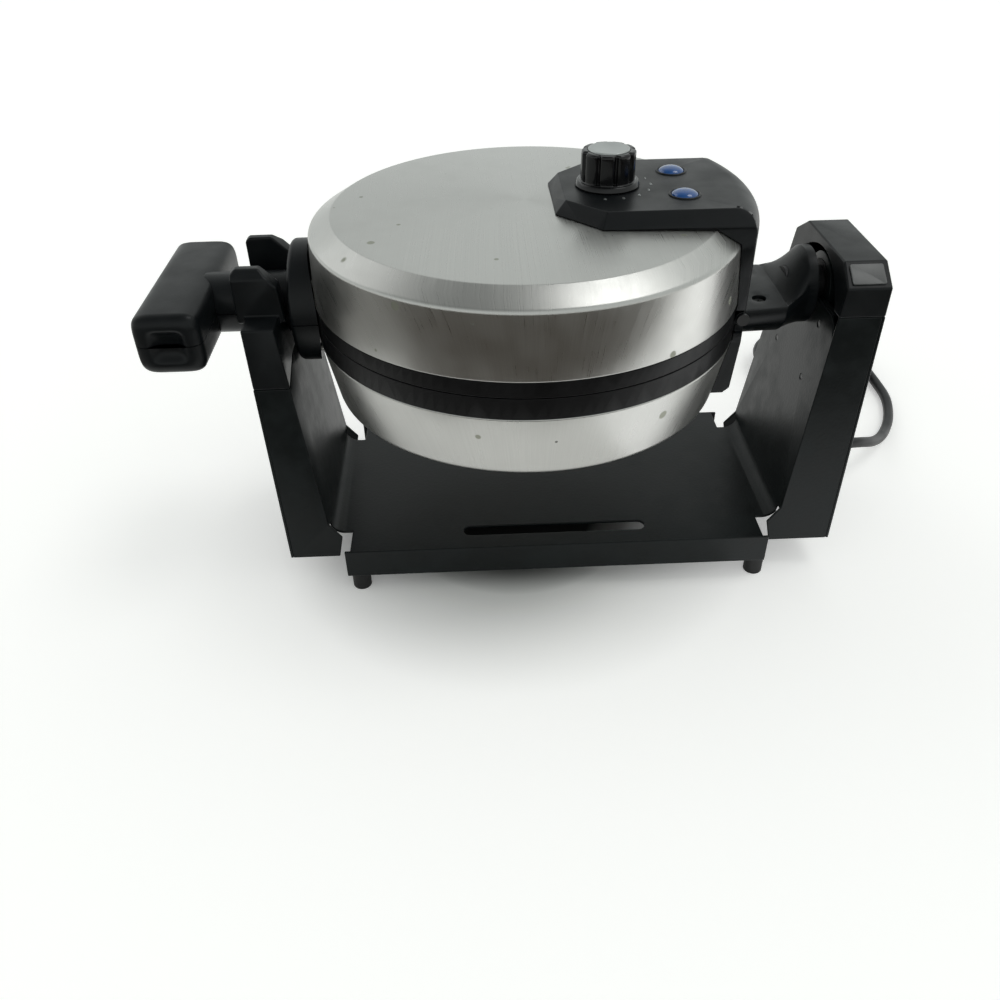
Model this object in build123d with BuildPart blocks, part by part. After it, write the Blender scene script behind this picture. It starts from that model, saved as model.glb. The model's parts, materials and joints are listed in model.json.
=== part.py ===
"""Rotating waffle maker: a round lidded cooker that turns over in a folded sheet stand.

The part stands on its rubber feet at Z 0, with X along the flip axis (grip at -X, pivot at +X)
and Y from front to back. Heights named *_Z are measured from the flip axis, and lengths named
*_X from the round body's centre, unless their comment says otherwise. All sizes are in mm.
"""
import os
from math import cos, radians, sin, sqrt, tan

from build123d import *

# Flip axis and overall reach
AXIS_HEIGHT = 144.0        # flip axis above the table
GRIP_END_X = 184.0         # grip's outer face
PARTING_GAP = 0.4          # between the two rims when the lid is shut
RUN_FIT = 0.05             # radial play of a shaft or pin in its bore
CLEAR = 0.3                # between mouldings and the steel shells

# Steel shells
SHELL_WALL = 1.0
LID_EDGE_R, LID_EDGE_Z = 105.0, 7.6
LID_SIDE_R, LID_SIDE_Z = 103.5, 38.6
LID_CREASE_R, LID_CREASE_Z = 92.5, 45.2
LID_DOME = 2.0
BASE_EDGE_R, BASE_EDGE_Z = 104.8, 10.35
BASE_FLOOR_R, BASE_FLOOR_Z = 98.1, 43.6
BASE_CORNER = 4.0
SHELL_LIP_R = 99.0         # inner edge of each shell's inward lip

# Rims
RIM_R = 104.7
RIM_LEDGE_R = 92.0
RIM_SEAT_R = 98.0
RIM_SKIRT_R = 98.7
RIM_SKIRT_WALL = 3.0
RIM_SKIRT_DEPTH = 5.0

# Waffle plates, heaters and reflectors
COOK_R = 89.0              # cooking circle, a seven inch waffle
COOK_DRAFT = 3.5
CAVITY_DEPTH = 14.0        # parting plane to cell floor
PLATE_WALL = 3.0
FLANGE_R = 97.5
FLANGE_Z = 0.8             # flange face from the parting plane
STUD_PITCH = 21.5
STUD_FIRST = 17.0
STUD_SIDE = 15.0
STUD_HEIGHT = 10.5
STUD_TAPER = 14.0
RIDGE_WIDTH = 9.0
RIDGE_HEIGHT = 9.0
HEATER_R = 60.0
HEATER_TUBE = 8.0
HEATER_SWEEP = 316.0
REFLECTOR_R = 80.0
REFLECTOR_WALL = 0.8
BOSS_RING_R = 38.0
BOSS_R = 5.0

# Hinge
PIN_X, PIN_Z = 102.0, -0.5
PIN_R = 2.0
PIN_HALF = 37.4
FLOAT = 3.5                # upright travel of the floating pin
KNUCKLE_R = 3.6
ARM_IN_Y, ARM_OUT_Y = 31.0, 37.0
EAR_IN_Y, EAR_OUT_Y = 25.0, 30.4
EAR_R = 4.0

# Control panel and its band
PANEL_NOSE_X, PANEL_NOSE_Y = 12.0, 22.0
PANEL_SHOULDER_X, PANEL_HALF = 32.0, 42.0
PANEL_TOP_Z = 53.2
PANEL_BEVEL = 6.5
PANEL_WALL = 2.5
BAND_R = 109.3
BAND_LOW_Z = 4.5
BAND_LOW_HALF, BAND_HIGH_HALF = 38.5, 44.0
BAND_ROUND = 11.0
HUB_NOTCH_HALF, HUB_NOTCH_Z = 22.5, 46.5
PLATE_NOTCH_Z = 12.0
KNOB_X = 39.0
KNOB_SKIRT_R, KNOB_SKIRT_H = 15.5, 2.4
KNOB_R, KNOB_H = 12.75, 13.6
KNOB_FLUTES = 9
KNOB_DISC_R, KNOB_DISC_H = 9.8, 1.6
SPINDLE_R = 3.0
LAMP_X, LAMP_Y, LAMP_R = 72.5, 17.0, 6.2
LAMP_RISE = 2.6

# Lower hinge cover, gooseneck and pivot
COVER_TOP_Z = -6.5
COVER_TOP_HALF, COVER_LOW_HALF = 34.0, 31.0
COVER_LOW_R = 106.6
NECK_PLATE_HALF, NECK_PLATE_SIDE = 29.0, 9.0
NECK_DEPTH = 22.0
NECK_FOLD_X = 127.0
HUB_R, HUB_X, HUB_END_X = 19.2, 139.0, 143.6
STRAP = 2.5                # steel strap thickness
STRAP_HALF, STRAP_LEG_HALF = 21.0, 10.0
STRAP_TOP_Z, STRAP_END_X = -6.0, 122.0
NECK_SCREW_X, NECK_SCREW_Y = 115.5, 16.0
SHAFT_R, SHAFT_BORE_R = 9.0, 6.5
SHAFT_START_X, SHAFT_END_X = 131.0, 161.5
BUSH_WALL = 3.0
BUSH_FLANGE_R = 14.5

# T handle
NECK_R = 14.85
GRIP_IN_X = 152.5
GRIP_HALF_Y = 48.0
GRIP_HALF_Z = 14.9
GRIP_ROUND = 8.0
GRIP_BEVEL = 2.0
DIMPLE_R = 10.0
DIMPLE_DEPTH = 2.2
ROSE_R, ROSE_X = 30.0, 114.5

# Stand
STAND_DX = 13.7            # stand's middle from the body's centre
SHEET = 1.5
TRAY_Z = -115.3
TRAY_HALF_Y = 63.0
LIP_HEIGHT = 16.7
LIP_RETURN = 12.0
INNER_HALF = 120.6         # web's inner face from the stand's middle, at the tray
WEB_LEAN = 6.3             # degrees from upright
COVER_LEAN = 2.2
LEFT_OUT, RIGHT_OUT = 144.4, 150.9   # arm's outer face from the stand's middle, at its foot
ARM_FOOT_Z = -127.4
ARM_FOOT_HALF, ARM_TOP_HALF = 51.5, 41.0   # half widths at the foot and at the flip axis
BEND_R = 7.5
RELIEF_HALF = 45.0
LIP_END = 113.0            # lip's end from the stand's middle
SLOT_X0, SLOT_X1, SLOT_Y, SLOT_WIDTH = -36.0, 62.0, -48.5, 7.5
LEFT_SEAM_Z = -27.0
FOOT_X0, FOOT_X1, FOOT_Y = -93.0, 123.5, 56.0
FOOT_R = 5.0
STUD_LOW_Z, STUD_HIGH_Z = -104.0, -62.0

# Left cradle cap
CRADLE_TOP_Z = 3.5
CRADLE_WEB_Z = -19.5
SLOT_HALF = 17.3
SADDLE_R = 15.15
PRONG_OUT_Y = 26.0
PRONG_X0, PRONG_X1 = -140.0, -118.5
PRONG_TOP_Z = 26.0
PRONG_BEVEL = 4.0

# Right pivot cap and bearing block
CAP_TOP_Z, CAP_FLAT_HALF = 22.6, 27.0
CAP_SLOPE_HALF, CAP_SLOPE_Z = 40.0, 14.2
CAP_WALL = 2.5
ARCH_HALF, ARCH_TOP_Z = 33.0, 18.5
WEB_TOP_Z = -3.0
BLOCK_LOW_Z = -50.0
BLOCK_PLATE = 3.0
BLOCK_BOSS_R = 16.0
BLOCK_END_X = 156.0

BLOCK_SCREW_R = 1.45
BLOCK_SCREWS = ((22.0, -12.0), (-22.0, -12.0), (22.0, -42.0), (-22.0, -42.0))

# Wiring and power cord
LEAD_R = 1.6
CORD_D = 6.5
CORD_Y, CORD_Z = 24.0, -117.0
RELIEF_LENGTH = 24.0
COIL_X, COIL_Y = 224.0, 162.0
COIL_IN = (38.5, 34.5, 30.0)     # bottom layer's crossings, spiralling in
COIL_OUT = (29.0, 35.0, 39.5)    # top layer's crossings, spiralling out
COIL_GAP = 0.7                   # between the two layers
TIE_WALL = 0.9
TIE_GAP = 0.55
PLUG_LENGTH, PLUG_WIDTH, PLUG_HEIGHT = 30.0, 24.0, 16.0
BLADE_LENGTH, BLADE_WIDTH, BLADE_THICK = 17.0, 6.3, 1.5
BLADE_SPACING = 12.7
BLADE_ROOT = 6.0                 # blade's length inside the plug

# Places worked out from the sizes above
COVER_RISE = tan(radians(COVER_LEAN))
WEB_RISE = tan(radians(WEB_LEAN))
RIGHT_END_X = STAND_DX + RIGHT_OUT + (CAP_TOP_Z - ARM_FOOT_Z) * COVER_RISE
BODY_X = (GRIP_END_X - RIGHT_END_X) / 2
REACH = 400.0
PLATE_BACK = CAVITY_DEPTH + PLATE_WALL
REFLECTOR_Z = PLATE_BACK + HEATER_TUBE
CORD_R = CORD_D / 2


def at(x, y, z):
    """A point given from the body's centre and the flip axis, in the part's frame."""
    return Vector(BODY_X + x, y, AXIS_HEIGHT + z)


def level(z, up=1):
    """A horizontal plane over the body's centre at height z, facing up or down."""
    return Plane(origin=at(0, 0, z), x_dir=(1, 0, 0), z_dir=(0, 0, up))


SIDE = Plane(origin=at(0, 0, 0), x_dir=(1, 0, 0), z_dir=(0, -1, 0))
BODY_AXIS = Axis(at(0, 0, 0), (0, 0, 1))


def across(x):
    """An upright plane square to the flip axis at x, its sketch x along Y."""
    return Plane(origin=at(x, 0, 0), x_dir=(0, 1, 0), z_dir=(1, 0, 0))


def facing(x, y, z, direction):
    """A plane at a point, facing along a direction, for a screw's head."""
    return Plane(origin=at(x, y, z), z_dir=direction)


os.makedirs("parts", exist_ok=True)


def keep(builder, name):
    """Label a finished piece and write it as parts/name.step."""
    builder.part.label = name
    export_step(builder.part, f"parts/{name}.step")


# Turned forms of the two shells


def lid_form(grow=0.0):
    """The lid's outer form as a turned solid, grown or shrunk by a wall or a clearance."""
    with BuildPart() as form:
        with BuildSketch(SIDE) as section:
            with BuildLine():
                ThreePointArc(
                    (-LID_CREASE_R, LID_CREASE_Z), (0, LID_CREASE_Z + LID_DOME), (LID_CREASE_R, LID_CREASE_Z)
                )
                Polyline(
                    (LID_CREASE_R, LID_CREASE_Z),
                    (LID_SIDE_R, LID_SIDE_Z),
                    (LID_EDGE_R, LID_EDGE_Z),
                    (-LID_EDGE_R, LID_EDGE_Z),
                    (-LID_SIDE_R, LID_SIDE_Z),
                    (-LID_CREASE_R, LID_CREASE_Z),
                )
            make_face()
            if grow:
                offset(amount=grow, kind=Kind.INTERSECTION, mode=Mode.REPLACE)
            with Locations((-REACH / 2, 0)):
                Rectangle(REACH, REACH, mode=Mode.SUBTRACT)
        revolve(axis=BODY_AXIS)
    return form.part


def base_form(grow=0.0):
    """The lower shell's outer form as a turned solid, grown or shrunk."""
    with BuildPart() as form:
        with BuildSketch(SIDE) as section:
            with BuildLine():
                Polyline(
                    (BASE_EDGE_R, -BASE_EDGE_Z),
                    (BASE_FLOOR_R, -BASE_FLOOR_Z),
                    (-BASE_FLOOR_R, -BASE_FLOOR_Z),
                    (-BASE_EDGE_R, -BASE_EDGE_Z),
                    close=True,
                )
            make_face()
            fillet(section.vertices().group_by(Axis.Z)[0], BASE_CORNER)
            if grow:
                offset(amount=grow, kind=Kind.INTERSECTION, mode=Mode.REPLACE)
            with Locations((-REACH / 2, 0)):
                Rectangle(REACH, REACH, mode=Mode.SUBTRACT)
        revolve(axis=BODY_AXIS)
    return form.part


# Shells, rims and plates

HANDLE_SCREW_Y, HANDLE_SCREW_R = 14.0, 2.0
HANDLE_SCREW_UP_Z, HANDLE_SCREW_LOW_Z = 14.0, -19.5

with BuildPart() as lid_shell:
    add(lid_form())
    add(lid_form(-SHELL_WALL), mode=Mode.SUBTRACT)
    with BuildSketch(level(LID_EDGE_Z - SHELL_WALL)):
        Circle(SHELL_LIP_R)
    extrude(amount=3 * SHELL_WALL, mode=Mode.SUBTRACT)
    # the thermostat's bush, the lamps' wires and the panel's screws pass the top
    with BuildSketch(level(LID_CREASE_Z - 5)):
        with Locations((KNOB_X, 0)):
            Circle(6)
        with Locations((LAMP_X, LAMP_Y), (LAMP_X, -LAMP_Y)):
            Circle(3)
        with Locations((55, 30), (55, -30), (24, 0)):
            Circle(2)
    extrude(amount=10, mode=Mode.SUBTRACT)
    # the handle's screws pass the side
    with BuildSketch(across(-LID_EDGE_R - 2)):
        with Locations((HANDLE_SCREW_Y, HANDLE_SCREW_UP_Z), (-HANDLE_SCREW_Y, HANDLE_SCREW_UP_Z)):
            Circle(HANDLE_SCREW_R + RUN_FIT)
    extrude(amount=8, mode=Mode.SUBTRACT)
keep(lid_shell, "lid_shell")

WIRE_Z, WIRE_R = -16.0, 3.5
STRAP_SCREWS = ((7.0, -26.0), (-7.0, -26.0), (0.0, -35.0))

with BuildPart() as lower_shell:
    add(base_form())
    add(base_form(-SHELL_WALL), mode=Mode.SUBTRACT)
    with BuildSketch(level(-BASE_EDGE_Z - 2 * SHELL_WALL)):
        Circle(SHELL_LIP_R)
    extrude(amount=3 * SHELL_WALL, mode=Mode.SUBTRACT)
    with BuildSketch(across(-BASE_EDGE_R - 2)):
        with Locations((HANDLE_SCREW_Y, HANDLE_SCREW_LOW_Z), (-HANDLE_SCREW_Y, HANDLE_SCREW_LOW_Z)):
            Circle(HANDLE_SCREW_R + RUN_FIT)
    extrude(amount=8, mode=Mode.SUBTRACT)
    # the wires and the strap's screws pass the side under the pivot
    with BuildSketch(across(BASE_FLOOR_R - 6)):
        with Locations((0, WIRE_Z)):
            Circle(WIRE_R)
        with Locations(*STRAP_SCREWS):
            Circle(2 + RUN_FIT)
    extrude(amount=16, mode=Mode.SUBTRACT)
keep(lower_shell, "lower_shell")


def rim(up, edge_z):
    """A rim ring: outer band, ledge for the plate's flange and a skirt inside the shell."""
    seat_z = FLANGE_Z + PLATE_WALL
    with BuildPart() as ring:
        with BuildSketch(SIDE):
            with BuildLine():
                Polyline(
                    (RIM_SEAT_R, up * PARTING_GAP / 2),
                    (RIM_R, up * PARTING_GAP / 2),
                    (RIM_R, up * edge_z),
                    (RIM_SKIRT_R, up * edge_z),
                    (RIM_SKIRT_R, up * (edge_z + RIM_SKIRT_DEPTH)),
                    (RIM_SKIRT_R - RIM_SKIRT_WALL, up * (edge_z + RIM_SKIRT_DEPTH)),
                    (RIM_SKIRT_R - RIM_SKIRT_WALL, up * edge_z),
                    (RIM_LEDGE_R, up * edge_z),
                    (RIM_LEDGE_R, up * seat_z),
                    (RIM_SEAT_R, up * seat_z),
                    close=True,
                )
            make_face()
        revolve(axis=BODY_AXIS)
        # a notch at the hinge, for the lid's arms, the pin and the lower ears
        with BuildSketch(level(-REACH / 8)):
            with Locations((PIN_X + 5, 0)):
                Rectangle(2 * (PIN_X + 5 - FLANGE_R - 0.2), 2 * (PIN_HALF + 2))
        extrude(amount=REACH / 4, mode=Mode.SUBTRACT)
        # the plate's flange screws
        with BuildSketch(level(0)):
            with PolarLocations((RIM_LEDGE_R + RIM_SEAT_R) / 2, 4, start_angle=45):
                Circle(1.5)
        extrude(amount=up * (edge_z + 1), mode=Mode.SUBTRACT)
    return ring


with BuildPart() as upper_rim:
    add(rim(1, LID_EDGE_Z).part)
    # round the pin, so that the rim clears the lower ears as the lid swings
    for side in (1, -1):
        with BuildSketch(Plane(origin=at(PIN_X, side * (EAR_IN_Y - 0.6), PIN_Z), z_dir=(0, side, 0))):
            Circle(2 * EAR_R + 0.2)
        extrude(amount=EAR_OUT_Y - EAR_IN_Y + 1.2, mode=Mode.SUBTRACT)
keep(upper_rim, "upper_rim")

with BuildPart() as lower_rim:
    add(rim(-1, BASE_EDGE_Z).part)
    with BuildSketch(across(BASE_FLOOR_R - 6)):
        with Locations((0, WIRE_Z)):
            Circle(WIRE_R)
    extrude(amount=16, mode=Mode.SUBTRACT)
keep(lower_rim, "lower_rim")


def stud_places():
    """The stud centres of all four quarters inside the cooking circle."""
    places = []
    for i in range(4):
        for j in range(4):
            x = STUD_FIRST + i * STUD_PITCH
            y = STUD_FIRST + j * STUD_PITCH
            if sqrt(x * x + y * y) + STUD_SIDE * 0.7 < COOK_R - COOK_DRAFT:
                places += [(x, y), (-x, y), (x, -y), (-x, -y)]
    return places


def waffle_plate(up):
    """A cast plate with its flange, studs, quarter ridges and reflector bosses."""
    floor_r = COOK_R - COOK_DRAFT
    with BuildPart() as plate:
        with BuildSketch(SIDE):
            with BuildLine():
                Polyline(
                    (0, up * CAVITY_DEPTH),
                    (floor_r, up * CAVITY_DEPTH),
                    (COOK_R, up * FLANGE_Z),
                    (FLANGE_R, up * FLANGE_Z),
                    (FLANGE_R, up * (FLANGE_Z + PLATE_WALL)),
                    (COOK_R + PLATE_WALL - 0.7, up * (FLANGE_Z + PLATE_WALL)),
                    (floor_r + PLATE_WALL, up * PLATE_BACK),
                    (0, up * PLATE_BACK),
                    close=True,
                )
            make_face()
        revolve(axis=BODY_AXIS)
        with BuildSketch(level(up * CAVITY_DEPTH, -up)):
            with Locations(*stud_places()):
                Rectangle(STUD_SIDE, STUD_SIDE)
        extrude(amount=STUD_HEIGHT, taper=STUD_TAPER)
        with BuildSketch(level(up * CAVITY_DEPTH, -up)):
            Rectangle(2 * floor_r - 3, RIDGE_WIDTH)
            Rectangle(RIDGE_WIDTH, 2 * floor_r - 3)
        extrude(amount=RIDGE_HEIGHT, taper=STUD_TAPER)
        with BuildSketch(level(up * PLATE_BACK, up)):
            with PolarLocations(BOSS_RING_R, 4, start_angle=45):
                Circle(BOSS_R)
        extrude(amount=HEATER_TUBE)
        with BuildSketch(level(up * REFLECTOR_Z, -up)):
            with PolarLocations(BOSS_RING_R, 4, start_angle=45):
                Circle(2 + RUN_FIT)
        extrude(amount=HEATER_TUBE, mode=Mode.SUBTRACT)
        # countersunk holes in the flange
        with Locations(level(up * FLANGE_Z, -up)):
            with PolarLocations((RIM_LEDGE_R + RIM_SEAT_R) / 2, 4, start_angle=45):
                CounterSinkHole(1.6, 2.6, depth=6, counter_sink_angle=90)
    return plate


def heater(up):
    """A tubular heater ring under the plate, open at the pivot side, with its two end pins."""
    z = up * (PLATE_BACK + HEATER_TUBE / 2)
    start = (360 - HEATER_SWEEP) / 2
    with BuildPart() as ring:
        with BuildLine(level(z)) as path:
            CenterArc((0, 0), HEATER_R, start, HEATER_SWEEP)
        with BuildSketch(Plane(path.line @ 0, z_dir=path.line % 0)):
            Circle(HEATER_TUBE / 2)
        sweep()
        for end, turn in ((path.line @ 0, -1), (path.line @ 1, 1)):
            tangent = (path.line % (0 if turn < 0 else 1)) * turn
            with BuildSketch(Plane(end, z_dir=tangent)):
                Circle(1.6)
            extrude(amount=9)
    return ring


def reflector(up):
    """A dished reflector over the heater, held on the plate's bosses."""
    z0 = REFLECTOR_Z
    with BuildPart() as dish:
        with BuildSketch(SIDE):
            with BuildLine():
                Polyline(
                    (0, up * z0),
                    (REFLECTOR_R, up * z0),
                    (REFLECTOR_R + 5, up * (z0 - 6)),
                    (REFLECTOR_R + 5 + REFLECTOR_WALL, up * (z0 - 6)),
                    (REFLECTOR_R + REFLECTOR_WALL / 2, up * (z0 + REFLECTOR_WALL)),
                    (0, up * (z0 + REFLECTOR_WALL)),
                    close=True,
                )
            make_face()
        revolve(axis=BODY_AXIS)
        with BuildSketch(level(up * (z0 - 1), up)):
            with PolarLocations(BOSS_RING_R, 4, start_angle=45):
                Circle(2 + RUN_FIT)
            with Locations((HEATER_R + 6, 18), (HEATER_R + 6, -18)):
                Circle(4)
        extrude(amount=3, mode=Mode.SUBTRACT)
    return dish


def screws(places, shank_r, shank_length, head_r, head_height):
    """Separate pan head screws, one at each plane, with a cross recess."""
    with BuildPart() as group:
        with Locations(*places):
            Cylinder(head_r, head_height, align=(Align.CENTER, Align.CENTER, Align.MIN))
            Cylinder(shank_r, shank_length, align=(Align.CENTER, Align.CENTER, Align.MAX))
        with Locations(*[Plane(p.origin + p.z_dir * head_height, z_dir=p.z_dir) for p in places]):
            Box(head_r, head_r / 4, head_height, mode=Mode.SUBTRACT)
            Box(head_r / 4, head_r, head_height, mode=Mode.SUBTRACT)
    return group


def ring_planes(radius, z, up, count=4, start=45):
    """Planes on a circle about the body's axis, facing up or down."""
    turns = [radians(start + k * 360 / count) for k in range(count)]
    return [facing(radius * cos(a), radius * sin(a), z, (0, 0, up)) for a in turns]


def flange_screws(up):
    """Flush countersunk screws that hold a plate's flange on its rim."""
    with BuildPart() as group:
        with Locations(*ring_planes((RIM_LEDGE_R + RIM_SEAT_R) / 2, up * FLANGE_Z, -up)):
            Cone(1.5, 2.5, 1.0, align=(Align.CENTER, Align.CENTER, Align.MAX))
            Cylinder(1.45, 7, align=(Align.CENTER, Align.CENTER, Align.MAX))
    return group


for half, up in (("upper", 1), ("lower", -1)):
    keep(waffle_plate(up), f"{half}_waffle_plate")
    keep(heater(up), f"{half}_heater")
    keep(reflector(up), f"{half}_reflector")
    keep(flange_screws(up), f"{half}_plate_screws")
    behind = ring_planes(BOSS_RING_R, up * (REFLECTOR_Z + REFLECTOR_WALL), up)
    keep(screws(behind, 2, 7, 3.8, 2.4), f"{half}_reflector_screws")


# T handle, split at mid height


def grip_block():
    """The whole cross grip before it is parted: a rounded bar along Y with bevelled ends."""
    with BuildPart() as grip:
        with BuildSketch(SIDE):
            with Locations((-(GRIP_END_X + GRIP_IN_X) / 2, 0)):
                RectangleRounded(GRIP_END_X - GRIP_IN_X, 2 * GRIP_HALF_Z, GRIP_ROUND)
        extrude(amount=GRIP_HALF_Y, both=True)
        chamfer(grip.faces().filter_by(Axis.Y).edges(), GRIP_BEVEL)
    return grip.part


def handle_half(up):
    """Half of the handle: half escutcheon, half neck and half of the cross grip."""
    cut = PARTING_GAP / 2
    with BuildPart() as half:
        with BuildSketch(across(-ROSE_X)):
            Circle(ROSE_R)
        extrude(amount=ROSE_X - 85)
        fillet(half.edges().group_by(Axis.X)[0], 3)
        with BuildSketch(across(-GRIP_IN_X - 2)):
            Circle(NECK_R)
        extrude(amount=GRIP_IN_X + 2 - ROSE_X + 2)
        add(grip_block())
        # thumb dimples in the grip's ends
        ball = (DIMPLE_R**2 + DIMPLE_DEPTH**2) / (2 * DIMPLE_DEPTH)
        for side in (1, -1):
            centre = at(-(GRIP_END_X + GRIP_IN_X) / 2, side * (GRIP_HALF_Y + ball - DIMPLE_DEPTH), 0)
            with Locations(centre):
                Sphere(ball, mode=Mode.SUBTRACT)
        # room for the body's rims and shell, then the parting cut
        if up > 0:
            add(lid_form(CLEAR), mode=Mode.SUBTRACT)
        else:
            add(base_form(CLEAR), mode=Mode.SUBTRACT)
        with BuildSketch(level(-LID_EDGE_Z - 4)):
            Circle(LID_EDGE_R + CLEAR)
        extrude(amount=2 * LID_EDGE_Z + 8, mode=Mode.SUBTRACT)
        with BuildSketch(level(up * cut, -up)):
            Rectangle(2 * REACH, REACH)
        extrude(amount=REACH / 4, mode=Mode.SUBTRACT)
        # screw bores from inside the body
        z = HANDLE_SCREW_UP_Z if up > 0 else HANDLE_SCREW_LOW_Z
        with BuildSketch(across(-LID_EDGE_R + 4)):
            with Locations((HANDLE_SCREW_Y, z), (-HANDLE_SCREW_Y, z)):
                Circle(HANDLE_SCREW_R + RUN_FIT)
        extrude(amount=-12, mode=Mode.SUBTRACT)
    return half


for half, up in (("upper", 1), ("lower", -1)):
    keep(handle_half(up), f"{half}_handle")
    z = HANDLE_SCREW_UP_Z if up > 0 else HANDLE_SCREW_LOW_Z
    face_x = -101.8 if up > 0 else -99.5
    heads = [facing(face_x, y, z, (1, 0, 0)) for y in (HANDLE_SCREW_Y, -HANDLE_SCREW_Y)]
    keep(screws(heads, HANDLE_SCREW_R, 10.5, 3.6, 2.2), f"{half}_handle_screws")


# Control panel with its band


def panel_plan(inset, z, reach):
    """The panel's outline seen from above at height z, drawn in by an inset, within a radius."""
    nose = PANEL_NOSE_X + inset
    half = PANEL_HALF - inset
    lean = inset * 0.41
    with BuildSketch(level(z)) as plan:
        with BuildLine():
            Polyline(
                (nose, -PANEL_NOSE_Y + lean),
                (PANEL_SHOULDER_X + lean, -half),
                (BAND_R + 20, -half),
                (BAND_R + 20, half),
                (PANEL_SHOULDER_X + lean, half),
                (nose, PANEL_NOSE_Y - lean),
                close=True,
            )
        make_face()
        Circle(reach, mode=Mode.INTERSECT)
    return plan.sketch


def lid_top(radius):
    """Height of the lid's domed top at a radius."""
    return LID_CREASE_Z + LID_DOME * (1 - (radius / LID_CREASE_R) ** 2)


def band_round():
    """A round block over the lid whose outer top edge has the band's rounding."""
    with BuildPart() as block:
        with BuildSketch(level(BAND_LOW_Z)):
            Circle(BAND_R)
        extrude(amount=PANEL_TOP_Z - BAND_LOW_Z)
        fillet(block.edges().group_by(Axis.Z)[-1], BAND_ROUND)
    return block.part


def band_cheeks():
    """The band's width over the lid's side, narrower toward the parting line."""
    with BuildPart() as block:
        with BuildSketch(across(LAMP_X)):
            with BuildLine():
                Polyline(
                    (-BAND_LOW_HALF, BAND_LOW_Z),
                    (BAND_LOW_HALF, BAND_LOW_Z),
                    (BAND_HIGH_HALF, LID_SIDE_Z - 2),
                    (PANEL_HALF, LID_CREASE_Z),
                    (PANEL_HALF, PANEL_TOP_Z - PANEL_BEVEL),
                    (-PANEL_HALF, PANEL_TOP_Z - PANEL_BEVEL),
                    (-PANEL_HALF, LID_CREASE_Z),
                    (-BAND_HIGH_HALF, LID_SIDE_Z - 2),
                    close=True,
                )
            make_face()
        extrude(amount=BAND_R - LAMP_X + 10)
    return block.part


def lid_arms():
    """The two arms that hang from the band to the hinge pin."""
    with BuildPart() as arms:
        for side in (1, -1):
            arm_plane = Plane(origin=at(0, side * ARM_IN_Y, 0), x_dir=(1, 0, 0), z_dir=(0, -1, 0))
            with BuildSketch(arm_plane):
                with Locations((PIN_X, PIN_Z)):
                    Circle(KNUCKLE_R)
                with BuildLine():
                    Polyline(
                        (PIN_X - 0.4, PIN_Z + KNUCKLE_R - 0.3),
                        (PIN_X + KNUCKLE_R, PIN_Z),
                        (BAND_R, BAND_LOW_Z + 2),
                        (BAND_R, BAND_LOW_Z + 10),
                        (PIN_X, BAND_LOW_Z + 10),
                        close=True,
                    )
                make_face()
            extrude(amount=-side * (ARM_OUT_Y - ARM_IN_Y))
        with BuildSketch(level(-REACH / 8)):
            Circle(BAND_R - 0.5)
        extrude(amount=REACH / 4, mode=Mode.INTERSECT)
    return arms.part


PANEL_SCREWS = ((55, 30), (55, -30), (24, 0))
POST_LOW_Z = LID_CREASE_Z + LID_DOME + CLEAR

with BuildPart() as control_panel:
    extrude(panel_plan(0, LID_CREASE_Z - 3, REACH), amount=PANEL_TOP_Z - PANEL_BEVEL - LID_CREASE_Z + 3)
    extrude(panel_plan(0, PANEL_TOP_Z - PANEL_BEVEL, REACH), amount=PANEL_BEVEL, taper=40)
    add(band_cheeks())
    add(band_round(), mode=Mode.INTERSECT)
    with BuildSketch(level(-BAND_LOW_Z)):
        Circle(RIM_R + CLEAR)
    extrude(amount=BAND_LOW_Z + LID_EDGE_Z, mode=Mode.SUBTRACT)
    add(lid_arms())
    add(lid_form(CLEAR), mode=Mode.SUBTRACT)
    # hollow under the top, with the screw posts left standing
    hollow_reach = BAND_R - BAND_ROUND - PANEL_WALL
    hollow_height = PANEL_TOP_Z - PANEL_WALL - LID_CREASE_Z + 3
    extrude(
        panel_plan(PANEL_BEVEL + PANEL_WALL, LID_CREASE_Z - 3, hollow_reach),
        amount=hollow_height,
        mode=Mode.SUBTRACT,
    )
    with BuildSketch(level(POST_LOW_Z)):
        with Locations(*PANEL_SCREWS):
            Circle(3.5)
    extrude(amount=PANEL_TOP_Z - PANEL_WALL - POST_LOW_Z)
    with BuildSketch(level(POST_LOW_Z)):
        with Locations(*PANEL_SCREWS):
            Circle(1.6)
    extrude(amount=PANEL_TOP_Z - PANEL_WALL - POST_LOW_Z, mode=Mode.SUBTRACT)
    # notches that let the band pass the gooseneck when the lid opens
    with BuildSketch(across(LID_SIDE_R - 10)):
        with Locations((0, PLATE_NOTCH_Z / 2)):
            Rectangle(2 * ARM_IN_Y, PLATE_NOTCH_Z)
        with Locations((0, HUB_NOTCH_Z / 2)):
            RectangleRounded(2 * HUB_NOTCH_HALF, HUB_NOTCH_Z, 5)
    extrude(amount=40, mode=Mode.SUBTRACT)
    # bores for the pin, the spindle and the lamps
    with BuildSketch(Plane(origin=at(PIN_X, REACH / 4, PIN_Z), z_dir=(0, -1, 0))):
        Circle(PIN_R + RUN_FIT)
    extrude(amount=REACH / 2, mode=Mode.SUBTRACT)
    with BuildSketch(level(LID_CREASE_Z)):
        with Locations((KNOB_X, 0)):
            Circle(SPINDLE_R + 1)
        with Locations((LAMP_X, LAMP_Y), (LAMP_X, -LAMP_Y)):
            Circle(LAMP_R + RUN_FIT)
    extrude(amount=20, mode=Mode.SUBTRACT)
keep(control_panel, "control_panel")

# Knob, thermostat and lamps

KNOB_LOW_Z = PANEL_TOP_Z + CLEAR
DISC_LOW_Z = KNOB_LOW_Z + KNOB_SKIRT_H + KNOB_H

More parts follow.
